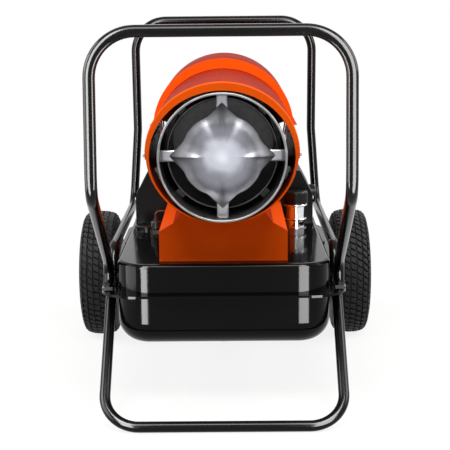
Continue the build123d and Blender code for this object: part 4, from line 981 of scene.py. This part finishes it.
@dataclass
class Wheel:
    """One wheel: a block treaded tyre on its rim. Millimetres."""

    side: str
    sign: int
    middle: Point = (255.0, 290.0, 128.0)
    groove: float = 4.2
    block_r: float = 124.0
    tread_edge: Pair = (40.0, 46.0)
    ribs: Pair = (52.0, 84.0)
    rib_half: float = 2.2
    pitches: int = 58
    segments: int = 174
    steps_each_way: int = 44
    half_section: tuple[Pair, ...] = (
        (0.0, 128.0), (8.0, 127.7), (16.0, 126.8), (22.0, 125.3), (28.0, 123.0), (32.0, 119.0),
        (35.0, 112.0), (37.5, 104.0), (38.6, 100.0), (39.5, 94.0), (40.0, 84.0), (38.8, 75.0),
        (35.5, 65.5), (31.0, 59.0), (24.0, 51.1))
    tread_rows: tuple[TreadRow, ...] = (
        TreadRow(0.0, 5.2, 0.50, 1.6), TreadRow(12.4, 5.0, 0.0, 2.4), TreadRow(24.6, 4.8, 0.55, 3.0),
        TreadRow(37.2, 4.6, 0.15, 1.0))

    def build(self) -> None:
        """Builds the tyre and dresses the rim."""
        work = bmesh.new()
        self.add_carcass(work)
        for row in self.tread_rows:
            for flip in (1, -1) if row.run else (1,):
                self.add_blocks(work, row, flip)
        tyre = new_piece(f"tyre_{self.side}_treaded", work, TYRE, f"wheel_{self.side}", 28.0)
        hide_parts(f"tyre_{self.side}")
        dress(BLACK_GLOSS, f"rim_{self.side}")

    def section(self, run: float) -> tuple[float, float, float, float]:
        """Finds a point of the tyre's half section.

        Args:
            run: Distance along the section from the middle of the tread.

        Returns:
            Its place across and its radius, then the outward normal's two parts.
        """
        left = abs(run)
        side = 1.0 if run >= 0 else -1.0
        for first, second in zip(self.half_section, self.half_section[1:]):
            length = math.dist(first, second)
            if left <= length or second is self.half_section[-1]:
                break
            left -= length
        run_x, run_r = (second[0] - first[0]) / length, (second[1] - first[1]) / length
        return side * (first[0] + run_x * left), first[1] + run_r * left, -side * run_r, run_x

    def spot(self, run: float, turn: float, depth: float) -> Vector:
        """Gives the point under a place on the tread, in metres.

        Args:
            run: Distance along the section from the middle of the tread.
            turn: Angle round the wheel in radians.
            depth: Depth below the tread's surface.

        Returns:
            The point in the object's frame.
        """
        across, radius, out_x, out_r = self.section(run)
        radius -= out_r * depth
        x, y, z = self.middle
        return Vector((self.sign * x + across - out_x * depth, y + radius * math.cos(turn),
                       z + radius * math.sin(turn))) * MM

    def add_carcass(self, work: BMesh) -> None:
        """Adds the casing, as low as the tread's grooves, with two ribs on each sidewall.

        Args:
            work: The tyre's bmesh.
        """
        total = sum(math.dist(a, b) for a, b in zip(self.half_section, self.half_section[1:]))
        rows = []
        for step in range(-self.steps_each_way, self.steps_each_way + 1):
            run = total * step / self.steps_each_way
            depth = self.groove * (1.0 - smooth_step(*self.tread_edge, abs(run)))
            if abs(run) > self.tread_edge[1]:
                depth += sum(1.0 - math.exp(-((abs(run) - rib) / self.rib_half) ** 2) for rib in self.ribs)
            depth *= 1.0 - 0.9 * smooth_step(total - 14.0, total - 6.0, abs(run))
            rows.append([work.verts.new(self.spot(run, turn, depth)) for turn in full_turn(self.segments)])
        grid_faces(work, rows, closed=True)

    def add_blocks(self, work: BMesh, row: TreadRow, flip: int) -> None:
        """Adds one ring of tread blocks with bevelled tops, no two quite alike.

        Args:
            work: The tyre's bmesh.
            row: The ring.
            flip: Which side of the tread's middle it lies on.
        """
        pitch = 2 * math.pi / self.pitches
        lean = row.skew / self.block_r
        for index in range(self.pitches):
            wave = math.sin(index * 2.4 + row.run) * 0.5 + math.sin(index * 5.1 + flip) * 0.5
            middle = (index + row.stagger + (0.0 if flip > 0 else 0.35)) * pitch
            half_turn = pitch * (0.37 + 0.03 * wave)
            width = row.half_width + 0.5 * wave
            rings = []
            for depth, inset in ((self.groove + 0.6, -0.5), (0.9, 0.0), (0.05, 0.8)):
                ring = []
                for u, v in ((-1, -1), (1, -1), (1, 1), (-1, 1)):
                    place = flip * row.run + u * (width - inset)
                    turn = middle + v * (half_turn - inset / self.block_r) + u * v * 0.006 + u * lean
                    ring.append(work.verts.new(self.spot(place, turn, depth)))
                rings.append(ring)
            grid_faces(work, rings, closed=True)
            work.faces.new(rings[-1])


@dataclass
class Axle:
    """The axle with spacers, washers and pins."""

    def build(self) -> None:
        """Dresses the axle's pieces."""
        dress(ZINC, "axle", "axle_spacers", "axle_washers", "cotter_pins")


# ---- studio
@dataclass(frozen=True)
class SoftBox:
    """An area lamp: its place, its aim, its width and height in metres and its power in watts."""

    name: str
    at: Point
    aim: Point
    size: Pair
    power: float


@dataclass
class Studio:
    """Floor, world, lamps and camera. Lengths in metres, angles in degrees."""

    camera_at: Point = (0.014, -2.1495, 0.683)
    pitch: float = -10.62
    yaw: float = 0.32
    roll: float = -0.52
    focal_px: float = 1200.0
    frame_px: float = 450.0
    sensor_mm: float = 36.0
    lamps: tuple[SoftBox, ...] = (
        SoftBox("key_left", (-2.0, -0.15, 1.45), (0.0, 0.0, 0.38), (1.1, 1.3), 42.0),
        SoftBox("key_right", (2.0, -0.10, 1.40), (0.0, 0.0, 0.38), (1.2, 1.3), 42.0),
        SoftBox("front_top", (0.0, -1.25, 2.05), (0.0, -0.25, 0.40), (1.7, 0.7), 44.0),
        SoftBox("back", (0.3, 2.4, 1.9), (0.0, 0.0, 0.35), (1.8, 1.0), 14.0),
    )
    cards: tuple[SoftBox, ...] = (
        SoftBox("card_left", (-0.31, -0.64, 0.50), (-0.1, -0.1, 0.50), (0.16, 1.0), 28.0),
        SoftBox("card_right", (0.33, -0.63, 0.50), (0.1, -0.1, 0.50), (0.26, 1.0), 36.0),
        SoftBox("card_side", (-0.95, -0.45, 0.50), (0.0, -0.1, 0.50), (0.7, 1.0), 18.0),
        SoftBox("card_over", (0.0, -1.0, 1.55), (0.0, -0.2, 0.3), (1.5, 0.6), 26.0),
    )
    lamp_colour: str = "#FFFDFB"
    surround_light: float = 0.17
    floor_half: float = 9.0
    shadow_reach: Pair = (0.45, 1.3)
    shadow_lift: float = 0.84
    gloss_black: tuple[str, ...] = ("tank_top_half", "tank_bottom_half", "front_handle", "rear_handle",
                                    "wheel_frame")

    def build(self) -> None:
        """Builds the studio."""
        self.make_floor()
        self.make_world()
        for box in self.lamps:
            self.make_lamp(box)
        receivers = bpy.data.collections.new("reflection_card_receivers")
        for name in self.gloss_black:
            receivers.objects.link(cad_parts[name])
        for box in self.cards:
            card = self.make_lamp(box)
            card.visible_diffuse = False
            card.light_linking.receiver_collection = receivers
        self.make_camera()
        bpy.context.scene.view_settings.view_transform = "Standard"

    def shown_white(self, tree: Tree) -> Socket:
        """Tells the rays that see the background straight, in a gloss or through glass.

        Args:
            tree: The node tree that needs it.

        Returns:
            One for those rays, zero for the light that reaches the object.
        """
        rays = add_node(tree, "ShaderNodeLightPath").outputs
        seen = rays["Is Camera Ray"]
        for kind in ("Is Glossy Ray", "Is Transmission Ray"):
            seen = add_node(tree, "ShaderNodeMath", {"operation": "MAXIMUM"},
                            {0: seen, 1: rays[kind]}).outputs[0]
        return seen

    def make_floor(self) -> None:
        """Makes a pale plain floor that keeps the object's shadow."""
        work = bmesh.new()
        bmesh.ops.create_grid(work, x_segments=8, y_segments=8, size=self.floor_half)
        mesh = bpy.data.meshes.new("floor")
        work.to_mesh(mesh)
        work.free()
        floor = add_object("floor", mesh)
        made = bpy.data.materials.new("seamless_paper_floor")
        tree = empty_tree(made)
        paper = add_node(tree, "ShaderNodeBsdfDiffuse", inputs={"Color": srgb("#F2F2F0")})
        bounce = add_node(tree, "ShaderNodeBsdfDiffuse", inputs={"Color": srgb("#8A8A88")})
        place = add_node(tree, "ShaderNodeNewGeometry")
        away = add_node(tree, "ShaderNodeVectorMath", {"operation": "LENGTH"}, {0: place.outputs["Position"]})
        near, far = self.shadow_reach
        lift = add_node(tree, "ShaderNodeMapRange", {"interpolation_type": "SMOOTHSTEP"},
                        {"Value": away.outputs["Value"], "From Min": near, "From Max": far,
                         "To Min": self.shadow_lift, "To Max": 1.0})
        glow = add_node(tree, "ShaderNodeEmission", inputs={"Color": srgb("#FFFFFF")})
        both = add_node(tree, "ShaderNodeMixShader",
                        inputs={"Fac": lift.outputs["Result"], 1: paper.outputs[0], 2: glow.outputs[0]})
        mixed = add_node(tree, "ShaderNodeMixShader",
                         inputs={"Fac": self.shown_white(tree), 1: bounce.outputs[0], 2: both.outputs[0]})
        add_node(tree, "ShaderNodeOutputMaterial", inputs={"Surface": mixed.outputs[0]})
        mesh.materials.append(made)

    def make_world(self) -> None:
        """Makes a white surround that lights the object less than it shows."""
        world = bpy.data.worlds.new("studio_surround")
        bpy.context.scene.world = world
        tree = empty_tree(world)
        shown = add_node(tree, "ShaderNodeBackground", inputs={"Color": srgb("#FFFFFF")})
        lit = add_node(tree, "ShaderNodeBackground",
                       inputs={"Color": srgb("#F6F8FB"), "Strength": self.surround_light})
        mixed = add_node(tree, "ShaderNodeMixShader",
                         inputs={"Fac": self.shown_white(tree), 1: lit.outputs[0], 2: shown.outputs[0]})
        add_node(tree, "ShaderNodeOutputWorld", inputs={"Surface": mixed.outputs[0]})

    def make_lamp(self, box: SoftBox) -> bpy.types.Object:
        """Makes one soft box, out of the camera's sight.

        Args:
            box: What it is.

        Returns:
            The lamp.
        """
        data = bpy.data.lights.new(box.name, "AREA")
        data.shape = "RECTANGLE"
        data.size, data.size_y = box.size
        data.energy = box.power
        data.color = srgb(self.lamp_colour)[:3]
        lamp = add_object(box.name, data)
        lamp.location = box.at
        lamp.rotation_euler = (Vector(box.aim) - Vector(box.at)).to_track_quat("-Z", "Y").to_euler()
        lamp.visible_camera = False
        return lamp

    def make_camera(self) -> None:
        """Makes the camera at the photograph's viewing angle."""
        data = bpy.data.cameras.new("camera")
        data.sensor_width = self.sensor_mm
        data.lens = self.sensor_mm * self.focal_px / self.frame_px
        data.clip_start, data.clip_end = 0.05, 60.0
        camera = add_object("camera", data)
        level = Euler((math.radians(90.0 + self.pitch), 0.0, math.radians(self.yaw))).to_matrix()
        camera.rotation_euler = (level @ Matrix.Rotation(math.radians(self.roll), 3, "Z")).to_euler()
        camera.location = self.camera_at
        bpy.context.scene.camera = camera


def main() -> None:
    """Builds and dresses the heater, then the studio."""
    logging.basicConfig(level=logging.INFO, format="%(name)s: %(message)s")
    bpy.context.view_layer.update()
    assemblies = [Studio(), Barrel(), CombustionChamber(), Deflector(), Burner(), AirUnit(), FuelTank(),
                  TubeWork(), Controls(), Wheel("left", -1), Wheel("right", 1), Axle()]
    for assembly in assemblies:
        assembly.build()
        LOG.info("%s done", type(assembly).__name__)


if __name__ == "__main__":
    main()
